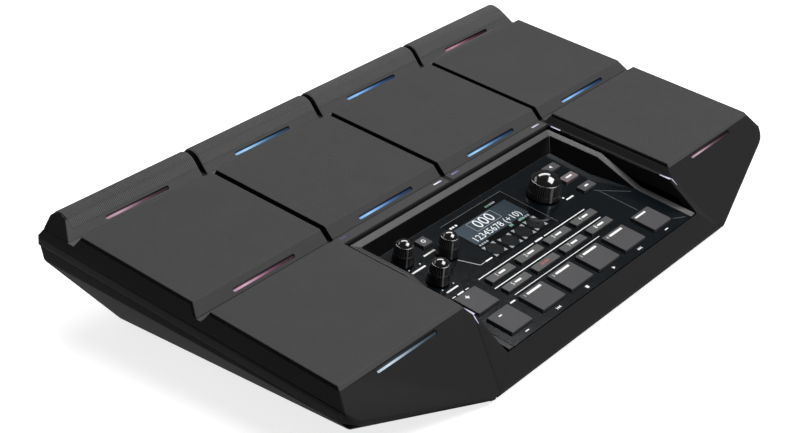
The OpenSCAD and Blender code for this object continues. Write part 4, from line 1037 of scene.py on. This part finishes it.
def make_knob(node, body, sizes):
    """Build a knob at its joint: a turned body with its hole, the knurl and the pointer line."""
    joint = next(j for j in frame["joints"] if j["child"] == body)
    at = panel_place.inverted() @ Vector(joint["pos_m"])
    skirt, top, height = sizes["skirt"] / 2, sizes["top"] / 2, sizes["height"]
    rim = height - sizes["dome"]
    neck = rim - sizes["grip"]
    neck_r = (skirt + top) / 2
    base = top - ring_wide
    curve = (base * base + sizes["dome"] ** 2) / (2 * sizes["dome"])
    edge = acos((curve - sizes["dome"]) / curve)
    turns = [edge * (1 - k / dome_steps) for k in range(dome_steps)]
    dome = [(curve * sin(a), height - curve + curve * cos(a)) for a in turns]
    foot = knob_gap + skirt_round
    outside = [(skirt - skirt_round, knob_gap), (skirt, foot), (neck_r, neck),
               (neck_r - ridge_high, neck + grip_step), (top - ridge_high, rim - grip_end), (top, rim - band_high)]
    outside += arc(top - rim_round, rim - rim_round, rim_round, 0, rim_turn, rim_steps) + dome + [(0, height)]
    inside = [(0, height - cap_thick), (shaft_hole, height - cap_thick), (shaft_hole, bushing_hole[1]),
              (bushing_hole[0], bushing_hole[1]), (bushing_hole[0], knob_gap)]
    shape = turned(outside + inside, knob_steps)
    for face in shape.faces:
        face.material_index = int(face.calc_center_median().z > (rim - band_high) * mm)
    front = [(r + line_proud, h) for r, h in ((skirt, foot), (neck_r, neck), (top, rim - line_end))]
    back = [(r - line_proud - line_deep, h) for r, h in reversed(front)]
    facing = Matrix.Rotation(line_turn, 4, "Z") @ side_on
    raise_outline(shape, front + back, -sizes["line"] / 2, sizes["line"] / 2, facing, 2)
    width = 2 * pi * neck_r / sizes["ridges"] * ridge_share
    ridge = ridge_mesh(neck + grip_step, rim - ridge_end, neck_r - top, width)
    # The ridges take the paler ABS, as a painted highlight.
    knurl = grow(knurl_tree, ridge, {"Count": sizes["ridges"], "Radius": neck_r * mm, "Finish": knob_ridge_highlight})
    add_mesh(shape, knurl, 3)
    bmesh.ops.transform(
        shape, matrix=panel_place @ Matrix.Translation((at.x, at.y, 0)), verts=shape.verts)
    mesh = mesh_of(shape, knob_matt, knob_gloss, silver_foil, knob_ridge_highlight)
    piece(mesh, node + "_turned", body, "knob_plastic", node)


for i in (1, 2, 3):
    make_knob(f"level_knob_{i}", f"level_{i}", level_sizes)
make_knob("data_knob", "data_dial", data_sizes)

# Feet and screws: four rubber feet glued to the underside, and six steel screws with cross recesses.
# The screws sit in countersinks of the lower case.
foot_r = 10.0
foot_high = 3.5
foot_round = 0.8
hollow_r = (5.0, 5.8)
hollow_deep = 0.6
head_r = 3.0
head_high = 1.7
shank_r = 1.4
shank_len = 12.0
head_round = 0.5
recess_long = 3.4
recess_wide = 0.9
recess_deep = 1.1


def carve(shape, tool):
    """A shape with another one cut out of it."""
    things = [placed(n, mesh_of(s)) for n, s in (("blank", shape), ("tool", tool))]
    cut = things[0].modifiers.new("cut", "BOOLEAN")
    cut.object = things[1]
    cut.operation = "DIFFERENCE"
    carved = bmesh.new()
    carved.from_mesh(plain_mesh(things[0]))
    for thing in things:
        bpy.data.objects.remove(thing)
    return carved


def floor_places(name):
    """The middles of a node's lumps on their lowest plane."""
    return [((low.x + high.x) / 2, (low.y + high.y) / 2, low.z) for low, high in lump_spans(name)]


# Natural rubber: dead matt and slightly dusty.
foot_rubber = surface("black_natural_rubber", "#161616", "#1d1d1d", 0.8, 0.7, 0.04, 6)
foot = turned([
    (0, hollow_deep), (hollow_r[0], hollow_deep), (hollow_r[1], 0), (foot_r - foot_round, 0), (foot_r, foot_round),
    (foot_r, foot_high), (0, foot_high)], steps=40)
piece(repeat(foot, floor_places("rubber_feet"), foot_rubber), "feet", "housing", "foot_rubber", "rubber_feet")
screw = turned([
    (0, 0), (head_r - head_round, 0), (head_r, head_round), (head_r, head_high), (shank_r, head_high),
    (shank_r, head_high + shank_len), (0, head_high + shank_len)], steps=24)
bit = bmesh.new()
raise_outline(bit, cross(recess_wide / 2, recess_long / 2), -recess_deep, recess_deep, Matrix.Identity(4))
screw = carve(screw, bit)
piece(repeat(screw, floor_places("case_screws"), zinc_steel), "screws", "housing", "steel", "case_screws")

# Studio: a pale floor, a large softbox at the front right, a smaller one at the rear right and a strip behind.
# The camera stands where the photograph was taken.
floor_half = 12.0
floor_lift = 0.8
air_level = 0.07
key_box = {"at": (0.85, -1.5, 2.6), "size": (2.2, 1.6), "watts": 95}
rear_box = {"at": (-0.5, 1.9, 1.5), "size": (1.6, 0.5), "watts": 4}
side_box = {"at": (1.0, 0.8, 1.82), "size": (2.0, 0.7), "watts": 28}
aim_at = Vector((0, 0, 0.04))
camera_at = (-0.78062, -0.57536, 0.54454)
camera_turn = (61.585, -0.509, -51.478)
camera_lens = 74.79
sensor_wide = 36
# Floor: matt white paint with faint roller marks. To the eye and in reflections it is lifted to white.
floor_paint = surface("matt_white_paint", "#c4c4c4", "#c0c0c0", 0.9, 4.0, 0.05, 300)
tree = floor_paint.node_tree
seen = add_node(tree, "ShaderNodeLightPath").outputs
mirrored = add_node(
    tree, "ShaderNodeMath", {0: seen["Is Glossy Ray"], 1: seen["Is Transmission Ray"]}, operation="MAXIMUM")
lifted = add_node(tree, "ShaderNodeMath", {0: seen["Is Camera Ray"], 1: mirrored.outputs[0]}, operation="MAXIMUM")
paint_skin = next(n for n in tree.nodes if n.type == "BSDF_PRINCIPLED")
paint_skin.inputs["Emission Color"].default_value = linear("#ffffff")
tree.links.new(ranged(tree, lifted.outputs[0], 0, floor_lift), paint_skin.inputs["Emission Strength"])
ground = bmesh.new()
bmesh.ops.create_grid(ground, x_segments=4, y_segments=4, size=floor_half)
floor = placed("floor", mesh_of(ground, floor_paint))
for name, box in (("key_softbox", key_box), ("rear_softbox", rear_box), ("side_softbox", side_box)):
    lamp = bpy.data.lights.new(name, "AREA")
    lamp.shape = "RECTANGLE"
    lamp.size, lamp.size_y = box["size"]
    lamp.energy = box["watts"]
    holder = placed(name, lamp)
    holder.location = box["at"]
    holder.rotation_euler = (aim_at - Vector(box["at"])).to_track_quat("-Z", "Y").to_euler()
# Beyond the floor the camera sees white air, which lights the part only faintly.
world = bpy.data.worlds.new("studio")
world.use_nodes = True
tree = world.node_tree
tree.nodes.clear()
seen = add_node(tree, "ShaderNodeLightPath").outputs["Is Camera Ray"]
air = add_node(
    tree, "ShaderNodeBackground", {"Color": linear("#ffffff"), "Strength": ranged(tree, seen, air_level, 1.0)})
add_node(tree, "ShaderNodeOutputWorld", {"Surface": air.outputs[0]})
bpy.context.scene.world = world
lens = bpy.data.cameras.new("camera")
lens.sensor_fit = "HORIZONTAL"
lens.sensor_width = sensor_wide
lens.lens = camera_lens
camera = placed("camera", lens)
camera.location = camera_at
camera.rotation_euler = [radians(a) for a in camera_turn]
bpy.context.scene.camera = camera
bpy.context.scene.view_settings.view_transform = "Standard"
